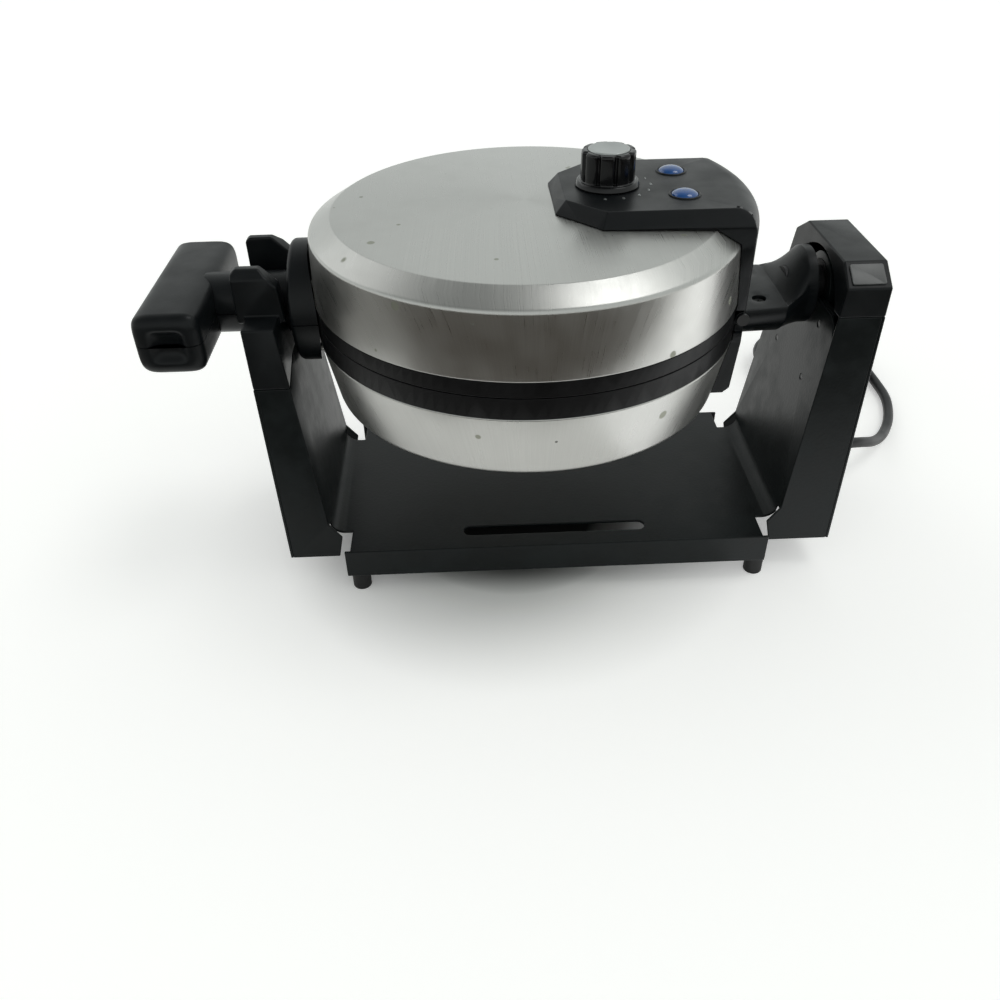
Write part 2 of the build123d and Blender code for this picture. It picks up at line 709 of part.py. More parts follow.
with BuildPart() as thermostat_knob:
    with BuildSketch(level(KNOB_LOW_Z)):
        with Locations((KNOB_X, 0)):
            Circle(KNOB_SKIRT_R)
    extrude(amount=KNOB_SKIRT_H, taper=20)
    with BuildSketch(level(KNOB_LOW_Z + KNOB_SKIRT_H)):
        with Locations((KNOB_X, 0)):
            Circle(KNOB_R)
            with PolarLocations(KNOB_R + 1.2, KNOB_FLUTES):
                Circle(2.6, mode=Mode.SUBTRACT)
    extrude(amount=KNOB_H)
    with BuildSketch(level(DISC_LOW_Z)):
        with Locations((KNOB_X, 0)):
            Circle(KNOB_DISC_R + RUN_FIT)
    extrude(amount=-KNOB_DISC_H / 2, mode=Mode.SUBTRACT)
    with BuildSketch(level(KNOB_LOW_Z)):
        with Locations((KNOB_X, 0)):
            Circle(SPINDLE_R)
            with Locations((SPINDLE_R * 1.6, 0)):
                Rectangle(SPINDLE_R * 2, SPINDLE_R * 2, mode=Mode.SUBTRACT)
    extrude(amount=KNOB_SKIRT_H + KNOB_H - 4, mode=Mode.SUBTRACT)
keep(thermostat_knob, "thermostat_knob")

with BuildPart() as knob_disc:
    with BuildSketch(level(DISC_LOW_Z - KNOB_DISC_H / 2)):
        with Locations((KNOB_X, 0)):
            Circle(KNOB_DISC_R)
    extrude(amount=KNOB_DISC_H)
keep(knob_disc, "knob_disc")

THERMO_LOW_Z = REFLECTOR_Z + REFLECTOR_WALL
THERMO_HEIGHT, THERMO_LENGTH, THERMO_WIDTH = 12.0, 34.0, 22.0
THERMO_TOP_Z = THERMO_LOW_Z + THERMO_HEIGHT
CONTACT_LENGTH, CONTACT_WIDTH, CONTACT_THICK = 20.0, 6.0, 0.6
CONTACT_Z = THERMO_LOW_Z + 5.0

with BuildPart() as thermostat_spindle:
    with BuildSketch(level(THERMO_TOP_Z - 4)):
        with Locations((KNOB_X, 0)):
            Circle(SPINDLE_R - RUN_FIT)
    extrude(amount=KNOB_LOW_Z - THERMO_TOP_Z + 4)
    with BuildSketch(level(KNOB_LOW_Z)):
        with Locations((KNOB_X, 0)):
            Circle(SPINDLE_R - RUN_FIT)
            with Locations((SPINDLE_R * 1.6, 0)):
                Rectangle(SPINDLE_R * 2, SPINDLE_R * 2, mode=Mode.SUBTRACT)
    extrude(amount=KNOB_SKIRT_H + KNOB_H - 4.5)
keep(thermostat_spindle, "thermostat_spindle")

with BuildPart() as thermostat_body:
    with BuildSketch(level(THERMO_LOW_Z)):
        with Locations((KNOB_X, 0)):
            Rectangle(THERMO_LENGTH, THERMO_WIDTH)
    extrude(amount=THERMO_HEIGHT)
    with BuildSketch(level(THERMO_TOP_Z)):
        with Locations((KNOB_X, 0)):
            Circle(5)
    extrude(amount=PANEL_TOP_Z - PANEL_WALL - THERMO_TOP_Z - 0.4)
    with BuildSketch(level(THERMO_TOP_Z - 4.5)):
        with Locations((KNOB_X, 0)):
            Circle(SPINDLE_R)
    extrude(amount=30, mode=Mode.SUBTRACT)
    # open chamber for the contact arm
    with BuildSketch(level(CONTACT_Z - 1.2)):
        with Locations((KNOB_X - 2, -THERMO_WIDTH / 2 + 3)):
            Rectangle(CONTACT_LENGTH + 6, CONTACT_WIDTH + 4)
    extrude(amount=4.2, mode=Mode.SUBTRACT)
keep(thermostat_body, "thermostat_body")

with BuildPart() as thermostat_nut:
    with BuildSketch(level(lid_top(KNOB_X - 8))):
        with Locations((KNOB_X, 0)):
            RegularPolygon(7.5, 6)
            Circle(5 + RUN_FIT, mode=Mode.SUBTRACT)
    extrude(amount=2.2)
keep(thermostat_nut, "thermostat_nut")

CONTACT_PIVOT_X = KNOB_X - 2 - CONTACT_LENGTH / 2
CONTACT_Y = -THERMO_WIDTH / 2 + 3.5

with BuildPart() as contact_arm:
    with BuildSketch(level(CONTACT_Z)):
        with Locations((KNOB_X - 2, CONTACT_Y)):
            Rectangle(CONTACT_LENGTH, CONTACT_WIDTH)
    extrude(amount=CONTACT_THICK)
    with BuildSketch(level(CONTACT_Z - 0.7)):
        with Locations((KNOB_X - 2 + CONTACT_LENGTH / 2 - 2.5, CONTACT_Y)):
            Circle(1.5)
    extrude(amount=0.7)
keep(contact_arm, "contact_arm")

with BuildPart() as contact_rivet:
    with BuildSketch(level(CONTACT_Z - 1.2)):
        with Locations((CONTACT_PIVOT_X + 2, CONTACT_Y)):
            Circle(1.8)
    extrude(amount=1.0)
keep(contact_rivet, "contact_rivet")

with BuildPart() as lamp_lenses:
    with BuildSketch(level(PANEL_TOP_Z - PANEL_WALL)):
        with Locations((LAMP_X, LAMP_Y), (LAMP_X, -LAMP_Y)):
            Circle(LAMP_R)
    extrude(amount=PANEL_WALL + LAMP_RISE)
    fillet(lamp_lenses.edges().group_by(Axis.Z)[-1], LAMP_RISE - 0.3)
keep(lamp_lenses, "lamp_lenses")

with BuildPart() as lamp_bulbs:
    for y in (LAMP_Y, -LAMP_Y):
        with BuildSketch(level(PANEL_TOP_Z - PANEL_WALL - 9)):
            with Locations((LAMP_X, y)):
                Circle(2.4)
        extrude(amount=9)
keep(lamp_bulbs, "lamp_bulbs")

panel_heads = [
    facing(x, y, lid_top(sqrt(x * x + y * y) + 3) - SHELL_WALL - 0.02, (0, 0, -1)) for x, y in PANEL_SCREWS
]
keep(screws(panel_heads, 1.5, 4.5, 2.8, 1.8), "panel_screws")

# Lower hinge cover, hinge pin, gooseneck and pivot

with BuildPart() as lower_hinge_cover:
    cover_low_z = -BASE_FLOOR_Z - SHELL_WALL
    with BuildSketch(SIDE):
        with BuildLine():
            Polyline(
                (BASE_FLOOR_R - 6, COVER_TOP_Z),
                (BAND_R, COVER_TOP_Z),
                (BAND_R, -15),
                (COVER_LOW_R + 0.6, cover_low_z + 3),
                (COVER_LOW_R - 2.5, cover_low_z),
                (BASE_FLOOR_R - 6, cover_low_z),
                close=True,
            )
        make_face()
    revolve(axis=BODY_AXIS)
    with BuildSketch(across(BASE_FLOOR_R - 15)):
        with BuildLine():
            Polyline(
                (-COVER_TOP_HALF, COVER_TOP_Z),
                (COVER_TOP_HALF, COVER_TOP_Z),
                (COVER_LOW_HALF, cover_low_z),
                (-COVER_LOW_HALF, cover_low_z),
                close=True,
            )
        make_face()
    extrude(amount=40, mode=Mode.INTERSECT)
    with BuildSketch(level(-BASE_EDGE_Z - 3)):
        Circle(BASE_EDGE_R + CLEAR)
    extrude(amount=BASE_EDGE_Z, mode=Mode.SUBTRACT)
    # ears with the upright slots of the floating pin
    for side in (1, -1):
        with BuildSketch(Plane(origin=at(0, side * EAR_IN_Y, 0), x_dir=(1, 0, 0), z_dir=(0, -1, 0))):
            with Locations((PIN_X, PIN_Z + FLOAT)):
                Circle(EAR_R)
            with Locations((PIN_X, (PIN_Z + FLOAT - BASE_EDGE_Z + CLEAR) / 2)):
                Rectangle(2 * EAR_R, PIN_Z + FLOAT + BASE_EDGE_Z - CLEAR)
            with Locations((PIN_X + EAR_R, COVER_TOP_Z - 1.5)):
                Rectangle(2 * EAR_R, 4)
        extrude(amount=-side * (EAR_OUT_Y - EAR_IN_Y))
    with BuildSketch(level(-REACH / 8)):
        Circle(BAND_R)
    extrude(amount=REACH / 4, mode=Mode.INTERSECT)
    add(base_form(CLEAR), mode=Mode.SUBTRACT)
    with BuildSketch(Plane(origin=at(PIN_X, REACH / 4, PIN_Z), x_dir=(1, 0, 0), z_dir=(0, -1, 0))):
        with Locations((0, FLOAT / 2)):
            SlotCenterToCenter(FLOAT, 2 * (PIN_R + RUN_FIT), rotation=90)
    extrude(amount=REACH / 2, mode=Mode.SUBTRACT)
    # room for the lid's arms as they swing
    for side in (1, -1):
        with BuildSketch(Plane(origin=at(PIN_X, side * (EAR_OUT_Y + 0.1), PIN_Z), z_dir=(0, side, 0))):
            Circle(9.6)
        extrude(amount=10, mode=Mode.SUBTRACT)
    # pocket for the strap's leg, and the wires' way
    with BuildSketch(SIDE):
        with BuildLine():
            Polyline(
                (90, COVER_TOP_Z + 5),
                (BAND_R - 1.4, COVER_TOP_Z + 5),
                (BAND_R - 1.4, -11),
                (104, -41),
                (90, -41),
                close=True,
            )
        make_face()
    extrude(amount=STRAP_LEG_HALF + 0.1, both=True, mode=Mode.SUBTRACT)
    with BuildSketch(level(STRAP_TOP_Z - STRAP - 0.1)):
        with Locations((BAND_R, 0)):
            Rectangle(20, 2 * STRAP_HALF + 0.2)
    extrude(amount=STRAP + 2, mode=Mode.SUBTRACT)
    with BuildSketch(across(BASE_FLOOR_R)):
        with Locations((0, WIRE_Z)):
            Circle(WIRE_R)
    extrude(amount=16, mode=Mode.SUBTRACT)
keep(lower_hinge_cover, "lower_hinge_cover")

with BuildPart() as hinge_pin:
    with BuildSketch(Plane(origin=at(PIN_X, PIN_HALF, PIN_Z), z_dir=(0, -1, 0))):
        Circle(PIN_R)
    extrude(amount=2 * PIN_HALF)
    for side in (1, -1):
        with BuildSketch(Plane(origin=at(PIN_X, side * PIN_HALF, PIN_Z), z_dir=(0, side, 0))):
            Circle(PIN_R + 1)
        extrude(amount=1.2)
keep(hinge_pin, "hinge_pin")

with BuildPart() as pivot_strap:
    with BuildSketch(SIDE):
        with BuildLine():
            Polyline(
                (BAND_R - 4, STRAP_TOP_Z),
                (STRAP_END_X, STRAP_TOP_Z),
                (STRAP_END_X, STRAP_TOP_Z - STRAP),
                (BAND_R - 4, STRAP_TOP_Z - STRAP),
                close=True,
            )
        make_face()
    extrude(amount=STRAP_HALF, both=True)
    with BuildSketch(SIDE):
        with BuildLine():
            Polyline(
                (BAND_R - 4, STRAP_TOP_Z),
                (BAND_R - 4 + STRAP, STRAP_TOP_Z),
                (BAND_R - 4 + STRAP, -11),
                (100.6 + STRAP, -40),
                (100.6, -40),
                (BAND_R - 4, -11),
                close=True,
            )
        make_face()
    extrude(amount=STRAP_LEG_HALF, both=True)
    with BuildSketch(across(BASE_FLOOR_R)):
        with Locations((0, WIRE_Z)):
            Circle(WIRE_R + 0.3)
        with Locations(*STRAP_SCREWS):
            Circle(2 + RUN_FIT)
    extrude(amount=14, mode=Mode.SUBTRACT)
    with BuildSketch(level(STRAP_TOP_Z)):
        with Locations((NECK_SCREW_X, NECK_SCREW_Y), (NECK_SCREW_X, -NECK_SCREW_Y)):
            Circle(1.5 + RUN_FIT)
    extrude(amount=-STRAP, mode=Mode.SUBTRACT)
keep(pivot_strap, "pivot_strap")

strap_heads = [facing(98.9 if abs(y) > 1 else 97.7, y, z, (-1, 0, 0)) for y, z in STRAP_SCREWS]
keep(screws(strap_heads, 2, 6, 3.6, 2.2), "strap_screws")


def neck_section(x, half, top_z, side_z, low_z):
    """One D shaped section of the gooseneck as four arcs: flat top, sides and round belly."""
    with BuildSketch(across(x)) as section:
        with BuildLine():
            ThreePointArc((-half, top_z - 0.8), (0, top_z), (half, top_z - 0.8))
            ThreePointArc((half, top_z - 0.8), (half + 0.4, (top_z + side_z) / 2), (half - 1, side_z))
            ThreePointArc((half - 1, side_z), (0, low_z), (1 - half, side_z))
            ThreePointArc((1 - half, side_z), (-half - 0.4, (top_z + side_z) / 2), (-half, top_z - 0.8))
        make_face()
    return section.sketch


def round_section(x, radius):
    """The hub's round section, split into four arcs at its diagonals."""
    d = radius / sqrt(2)
    with BuildSketch(across(x)) as section:
        with BuildLine():
            ThreePointArc((-d, d), (0, radius), (d, d))
            ThreePointArc((d, d), (radius, 0), (d, -d))
            ThreePointArc((d, -d), (0, -radius), (-d, -d))
            ThreePointArc((-d, -d), (-radius, 0), (-d, d))
        make_face()
    return section.sketch


with BuildPart() as gooseneck:
    loft(
        [
            neck_section(BAND_R - 8, NECK_PLATE_HALF, 0, -NECK_PLATE_SIDE, -NECK_DEPTH),
            neck_section(NECK_FOLD_X, NECK_PLATE_HALF - 3, 0.5, -NECK_PLATE_SIDE, -NECK_DEPTH),
            round_section(HUB_X, HUB_R),
            round_section(HUB_END_X, HUB_R),
        ],
        ruled=True,
    )
    with BuildSketch(level(-NECK_DEPTH - 5)):
        Circle(BAND_R)
    extrude(amount=NECK_DEPTH + 10, mode=Mode.SUBTRACT)
    # strap pocket, wire chamber and shaft bore
    with BuildSketch(level(STRAP_TOP_Z - STRAP - 0.05)):
        with Locations(((BAND_R + STRAP_END_X) / 2, 0)):
            Rectangle(STRAP_END_X - BAND_R + 8, 2 * STRAP_HALF + 0.1)
    extrude(amount=STRAP + 0.1, mode=Mode.SUBTRACT)
    with BuildSketch(level(-NECK_DEPTH + 2.5)):
        with Locations(((BAND_R + SHAFT_START_X) / 2 - 2, 0)):
            Rectangle(SHAFT_START_X - BAND_R + 4, 9)
    extrude(amount=10.5, mode=Mode.SUBTRACT)
    with BuildSketch(level(-NECK_DEPTH + 2.5)):
        with Locations((SHAFT_START_X - 3.5, 0)):
            Rectangle(7, 9)
    extrude(amount=NECK_DEPTH - 2.5, mode=Mode.SUBTRACT)
    with BuildSketch(across(SHAFT_START_X)):
        Circle(SHAFT_R)
    extrude(amount=30, mode=Mode.SUBTRACT)
    # sunk screws in the flat top
    with Locations(level(0.5)):
        with Locations((NECK_SCREW_X, NECK_SCREW_Y), (NECK_SCREW_X, -NECK_SCREW_Y)):
            CounterBoreHole(1.5 + RUN_FIT, 3.4, 4.0, depth=14)
keep(gooseneck, "gooseneck")

neck_heads = [facing(NECK_SCREW_X, y, -3.5, (0, 0, 1)) for y in (NECK_SCREW_Y, -NECK_SCREW_Y)]
keep(screws(neck_heads, 1.5, 9, 2.9, 2), "gooseneck_screws")

with BuildPart() as pivot_shaft:
    with BuildSketch(across(SHAFT_START_X)):
        Circle(SHAFT_R)
        Circle(SHAFT_BORE_R, mode=Mode.SUBTRACT)
    extrude(amount=SHAFT_END_X - SHAFT_START_X)
keep(pivot_shaft, "pivot_shaft")

BUSH_R = SHAFT_R + RUN_FIT + BUSH_WALL
BUSH_FLANGE = 2.0
RETAINER = 1.8

with BuildPart() as pivot_bush:
    with BuildSketch(across(HUB_END_X + 6.5)):
        Circle(BUSH_R)
    extrude(amount=BLOCK_END_X - HUB_END_X - 6.5)
    with BuildSketch(across(BLOCK_END_X)):
        Circle(BUSH_FLANGE_R)
    extrude(amount=BUSH_FLANGE)
    with BuildSketch(across(HUB_END_X)):
        Circle(SHAFT_R + RUN_FIT)
    extrude(amount=30, mode=Mode.SUBTRACT)
keep(pivot_bush, "pivot_bush")

with BuildPart() as shaft_retainer:
    with BuildSketch(across(BLOCK_END_X + BUSH_FLANGE + 0.2)):
        Circle(SHAFT_R + 4)
        Circle(SHAFT_R, mode=Mode.SUBTRACT)
    extrude(amount=RETAINER)
keep(shaft_retainer, "shaft_retainer")

# Stand


def web_x(side, z):
    """The web's inner face at height z, left (-1) or right (+1)."""
    return STAND_DX + side * (INNER_HALF + (z - TRAY_Z) * WEB_RISE)


def out_x(side, z):
    """The arm's outer face at height z."""
    reach = LEFT_OUT if side < 0 else RIGHT_OUT
    return STAND_DX + side * (reach + (z - ARM_FOOT_Z) * COVER_RISE)


def arm_half(z):
    """The arm's half width along Y at height z."""
    return ARM_TOP_HALF + (ARM_FOOT_HALF - ARM_TOP_HALF) * z / ARM_FOOT_Z


def slab(side, section, low_z, high_z, skin=0.0):
    """A section in the XZ plane, carried to the arm's tapering front and back faces.

    skin draws those two faces in. The section lies on the stand's left (-1) or right (+1).
    """
    with BuildPart() as block:
        with BuildSketch(SIDE):
            with BuildLine():
                Polyline(*section, close=True)
            make_face()
        extrude(amount=REACH / 4, both=True)
        with BuildSketch(across(0)):
            with BuildLine():
                Polyline(
                    (-arm_half(low_z) + skin, low_z),
                    (arm_half(low_z) - skin, low_z),
                    (arm_half(high_z) - skin, high_z),
                    (-arm_half(high_z) + skin, high_z),
                    close=True,
                )
            make_face()
        extrude(amount=side * REACH / 2, mode=Mode.INTERSECT)
    return block.part


def arm_section(side, low_z, high_z, inner=0.0, outer=0.0):
    """The arm's leaning outline between two heights, its inner and outer faces drawn in."""
    return (
        (web_x(side, low_z) + side * inner, low_z),
        (web_x(side, high_z) + side * inner, high_z),
        (out_x(side, high_z) - side * outer, high_z),
        (out_x(side, low_z) - side * outer, low_z),
    )


def cover_section(side, low_z, high_z):
    """The outline of the plate that closes an arm's outer side."""
    return (
        (out_x(side, low_z) - side * SHEET, low_z),
        (out_x(side, high_z) - side * SHEET, high_z),
        (out_x(side, high_z), high_z),
        (out_x(side, low_z), low_z),
    )


def flange_section(side, top_z):
    """The outline of an arm's front or back flange, with its foot under the bend."""
    return (
        (STAND_DX + side * (INNER_HALF - BEND_R + 2), TRAY_Z),
        (STAND_DX + side * (INNER_HALF - BEND_R + 4.6), ARM_FOOT_Z),
        (out_x(side, ARM_FOOT_Z) - side * SHEET, ARM_FOOT_Z),
        (out_x(side, top_z) - side * SHEET, top_z),
        (web_x(side, top_z), top_z),
        (web_x(side, TRAY_Z + BEND_R + 1), TRAY_Z + BEND_R + 1),
    )


WEB_SKEW = SHEET / cos(radians(WEB_LEAN))


def folded_sheet():
    """The tray and both webs as one bent sheet, as wide as the tray."""
    with BuildPart() as sheet:
        with BuildSketch(SIDE):
            with BuildLine():
                inner = FilletPolyline(
                    (web_x(-1, 0), 0),
                    (web_x(-1, TRAY_Z), TRAY_Z),
                    (web_x(1, TRAY_Z), TRAY_Z),
                    (web_x(1, 0), 0),
                    radius=BEND_R,
                )
                low_z = TRAY_Z - SHEET
                outer = FilletPolyline(
                    (web_x(-1, 0) - WEB_SKEW, 0),
                    (web_x(-1, low_z) - WEB_SKEW, low_z),
                    (web_x(1, low_z) + WEB_SKEW, low_z),
                    (web_x(1, 0) + WEB_SKEW, 0),
                    radius=BEND_R + SHEET,
                )
                Line(inner @ 0, outer @ 0)
                Line(inner @ 1, outer @ 1)
            make_face()
        extrude(amount=TRAY_HALF_Y, both=True)
    return sheet.part


def tray_limits():
    """The sheet's flat blank seen from above: tray, corner reliefs and the bends."""
    with BuildPart() as limits:
        with BuildSketch(level(TRAY_Z - 5)):
            with Locations((STAND_DX, 0)):
                Rectangle(2 * (INNER_HALF - BEND_R - 3), 2 * TRAY_HALF_Y)
                Rectangle(2 * (INNER_HALF + 0.8), 2 * RELIEF_HALF)
        extrude(amount=20)
    return limits.part


def web_limits(side):
    """The outline of a web seen from the side, above its bend."""
    low_z = TRAY_Z + BEND_R - 0.8
    with BuildPart() as limits:
        with BuildSketch(across(STAND_DX + side * (INNER_HALF + 0.4))):
            with BuildLine():
                if side < 0:
                    Polyline(
                        (-arm_half(low_z), low_z),
                        (arm_half(low_z), low_z),
                        (arm_half(LEFT_SEAM_Z), LEFT_SEAM_Z),
                        (20, CRADLE_WEB_Z),
                        (-20, CRADLE_WEB_Z),
                        (-arm_half(LEFT_SEAM_Z), LEFT_SEAM_Z),
                        close=True,
                    )
                else:
                    Polyline(
                        (-arm_half(low_z), low_z),
                        (arm_half(low_z), low_z),
                        (arm_half(-12), -12),
                        (37, -5),
                        (32, WEB_TOP_Z),
                        (-32, WEB_TOP_Z),
                        (-37, -5),
                        (-arm_half(-12), -12),
                        close=True,
                    )
            make_face()
            if side > 0:
                Circle(SHAFT_R + 1.5, mode=Mode.SUBTRACT)
        extrude(amount=side * 40)
    return limits.part


def studs(side):
    """The two posts that carry the cover's screws, from the web to the cover."""
    with BuildPart() as posts:
        with BuildSketch(across(STAND_DX + side * INNER_HALF)):
            with Locations((0, STUD_LOW_Z), (0, STUD_HIGH_Z)):
                Circle(4)
        extrude(amount=side * 60)
        room = arm_section(side, ARM_FOOT_Z, LEFT_SEAM_Z, 0.5, SHEET)
        add(slab(side, room, ARM_FOOT_Z, LEFT_SEAM_Z), mode=Mode.INTERSECT)
        with BuildSketch(across(out_x(side, ARM_FOOT_Z) - side * 14)):
            with Locations((0, STUD_LOW_Z), (0, STUD_HIGH_Z)):
                Circle(1.5 + RUN_FIT)
        extrude(amount=side * 40, mode=Mode.SUBTRACT)
    return posts.part


def flanges(side, top_z):
    """An arm's front and back flanges."""
    section = flange_section(side, top_z)
    with BuildPart() as pair:
        add(slab(side, section, ARM_FOOT_Z, top_z))
        add(slab(side, section, ARM_FOOT_Z, top_z, SHEET), mode=Mode.SUBTRACT)
    return pair.part


FEET = [(x, y) for x in (FOOT_X0, FOOT_X1) for y in (FOOT_Y, -FOOT_Y)]
LIP_LOW_Z = TRAY_Z - LIP_HEIGHT


def blank():
    """The outline of the whole bent sheet as one block."""
    with BuildPart() as block:
        add(tray_limits())
        add(web_limits(-1))
        add(web_limits(1))
    return block.part


with BuildPart() as webs:
    add(folded_sheet())
    add(blank(), mode=Mode.INTERSECT)

with BuildPart() as stand_frame:
    add(webs.part)
    # front and back lips with their inward returns
    with BuildSketch(across(STAND_DX - LIP_END)):
        for side in (1, -1):
            with Locations((side * (TRAY_HALF_Y - SHEET / 2), (TRAY_Z + LIP_LOW_Z) / 2)):
                Rectangle(SHEET, LIP_HEIGHT)
            with Locations((side * (TRAY_HALF_Y - LIP_RETURN / 2), LIP_LOW_Z + SHEET / 2)):
                Rectangle(LIP_RETURN, SHEET)
    extrude(amount=2 * LIP_END)
    for side, top_z in ((-1, LEFT_SEAM_Z), (1, 0)):
        add(flanges(side, top_z))
        add(studs(side))
    with BuildSketch(level(TRAY_Z - 5)):
        with Locations(((SLOT_X0 + SLOT_X1) / 2, SLOT_Y)):
            SlotOverall(SLOT_X1 - SLOT_X0, SLOT_WIDTH)
    extrude(amount=10, mode=Mode.SUBTRACT)
    with BuildSketch(level(LIP_LOW_Z - 1)):
        with Locations(*FEET):
            Circle(3)
    extrude(amount=5, mode=Mode.SUBTRACT)
    # holes for the bearing block's screws
    with BuildSketch(across(web_x(1, BLOCK_LOW_Z) - 5)):
        with Locations(*BLOCK_SCREWS):
            Circle(BLOCK_SCREW_R + RUN_FIT)
    extrude(amount=15, mode=Mode.SUBTRACT)
keep(stand_frame, "stand_frame")

with BuildPart() as rubber_feet:
    with BuildSketch(level(-AXIS_HEIGHT)):
        with Locations(*FEET):
            Circle(FOOT_R)
    extrude(amount=LIP_LOW_Z + AXIS_HEIGHT)
    fillet(rubber_feet.edges().group_by(Axis.Z)[0], 0.8)
    with BuildSketch(level(LIP_LOW_Z)):
        with Locations(*FEET):
            Circle(3)
    extrude(amount=SHEET)
    with BuildSketch(level(LIP_LOW_Z + SHEET)):
        with Locations(*FEET):
            Circle(4)
    extrude(amount=1.4)
keep(rubber_feet, "rubber_feet")

RELIEF_NECK_R = 5.5

for side, name, top_z in ((-1, "left", LEFT_SEAM_Z), (1, "right", 0)):
    with BuildPart() as cover:
        add(slab(side, cover_section(side, ARM_FOOT_Z, top_z), ARM_FOOT_Z, top_z))
        with BuildSketch(across(out_x(side, ARM_FOOT_Z) - side * 10)):
            with Locations((0, STUD_LOW_Z), (0, STUD_HIGH_Z)):
                Circle(1.5 + RUN_FIT)
            if side > 0:
                with Locations((CORD_Y, CORD_Z)):
                    Circle(RELIEF_NECK_R)
        extrude(amount=side * 30, mode=Mode.SUBTRACT)
    keep(cover, f"{name}_arm_cover")
    cover_heads = [
        facing(out_x(side, z) + side * 0.15, 0, z, (side, 0, 0)) for z in (STUD_LOW_Z, STUD_HIGH_Z)
    ]
    keep(screws(cover_heads, 1.5, 8, 3.2, 1.8), f"{name}_cover_screws")

with BuildPart() as left_cradle_cap:
    add(slab(-1, arm_section(-1, LEFT_SEAM_Z, CRADLE_TOP_Z), LEFT_SEAM_Z, CRADLE_TOP_Z))
    # two prongs that keep the neck in its saddle
    with BuildSketch(SIDE):
        with BuildLine():
            Polyline(
                (PRONG_X0, 0),
                (PRONG_X1 + 1.5, 0),
                (PRONG_X1, PRONG_TOP_Z - 8),
                (PRONG_X1 - 8, PRONG_TOP_Z),
                (PRONG_X0 + 2, PRONG_TOP_Z),
                (PRONG_X0, PRONG_TOP_Z - 2),
                close=True,
            )
        make_face()
    extrude(amount=PRONG_OUT_Y, both=True)
    chamfer(left_cradle_cap.edges().filter_by(Axis.X).group_by(Axis.Z)[-1], PRONG_BEVEL)
    add(webs.part, mode=Mode.SUBTRACT)
    with BuildSketch(across(PRONG_X0 - 20)):
        Circle(SADDLE_R)
        with Locations((0, PRONG_TOP_Z)):
            Rectangle(2 * SLOT_HALF, 2 * PRONG_TOP_Z)
    extrude(amount=60, mode=Mode.SUBTRACT)
keep(left_cradle_cap, "left_cradle_cap")


def cap_block(wall):
    """The right cap's outline drawn in by a wall, open below."""
    low_z = -1.0 if wall else 0.0
    with BuildPart() as block:
        with BuildSketch(SIDE):
            with BuildLine():
                Polyline(
                    (web_x(1, low_z) + wall, low_z),
                    (web_x(1, CAP_TOP_Z - wall) + wall, CAP_TOP_Z - wall),
                    (out_x(1, CAP_TOP_Z - wall) - wall, CAP_TOP_Z - wall),
                    (out_x(1, low_z) - wall, low_z),
                    close=True,
                )
            make_face()
        extrude(amount=REACH / 4, both=True)
        lean = wall * 0.57
        with BuildSketch(across(100)):
            with BuildLine():
                Polyline(
                    (-ARM_TOP_HALF + wall, low_z),
                    (ARM_TOP_HALF - wall, low_z),
                    (CAP_SLOPE_HALF - wall, CAP_SLOPE_Z - lean),
                    (CAP_FLAT_HALF - lean, CAP_TOP_Z - wall),
                    (-CAP_FLAT_HALF + lean, CAP_TOP_Z - wall),
                    (-CAP_SLOPE_HALF + wall, CAP_SLOPE_Z - lean),
                    close=True,
                )
            make_face()
        extrude(amount=100, mode=Mode.INTERSECT)
    return block.part


with BuildPart() as right_pivot_cap:
    add(cap_block(0))
    add(cap_block(CAP_WALL), mode=Mode.SUBTRACT)
    with BuildSketch(across(web_x(1, 0) - 10)):
        with BuildLine():
            ThreePointArc((-ARCH_HALF, 0), (0, ARCH_TOP_Z), (ARCH_HALF, 0))
            Line((ARCH_HALF, 0), (-ARCH_HALF, 0))
        make_face()
    extrude(amount=18, mode=Mode.SUBTRACT)
keep(right_pivot_cap, "right_pivot_cap")

BLOCK_SECTION = (
    (web_x(1, BLOCK_LOW_Z) + WEB_SKEW, BLOCK_LOW_Z),
    (web_x(1, WEB_TOP_Z) + WEB_SKEW, WEB_TOP_Z),
    (web_x(1, WEB_TOP_Z) + WEB_SKEW + BLOCK_PLATE, WEB_TOP_Z),
    (web_x(1, BLOCK_LOW_Z) + WEB_SKEW + BLOCK_PLATE, BLOCK_LOW_Z),
)

with BuildPart() as bearing_block:
    add(slab(1, BLOCK_SECTION, BLOCK_LOW_Z, WEB_TOP_Z, 10))
    with BuildSketch(across(BLOCK_END_X)):
        Circle(BLOCK_BOSS_R)
    extrude(amount=-(BLOCK_END_X - web_x(1, BLOCK_BOSS_R) - WEB_SKEW))
    with BuildSketch(across(BLOCK_END_X)):
        Circle(BUSH_R)
    extrude(amount=-20, mode=Mode.SUBTRACT)
    with BuildSketch(across(web_x(1, BLOCK_LOW_Z) - 5)):
        with Locations(*BLOCK_SCREWS):
            Circle(BLOCK_SCREW_R + 0.2)
    extrude(amount=25, mode=Mode.SUBTRACT)
keep(bearing_block, "bearing_block")

# screws from inside the arm, whose ends lie flush in the web's inner face
block_face = [web_x(1, z + 3.4) + WEB_SKEW + BLOCK_PLATE + 0.05 for y, z in BLOCK_SCREWS]
block_heads = [facing(x, y, z, (1, 0, 0)) for x, (y, z) in zip(block_face, BLOCK_SCREWS)]
BLOCK_SHANK = web_x(1, 3.4) - web_x(1, BLOCK_SCREW_R) + WEB_SKEW + BLOCK_PLATE
keep(screws(block_heads, BLOCK_SCREW_R, BLOCK_SHANK, 3.2, 1.8), "bearing_screws")

# Wiring, strain relief and power cord


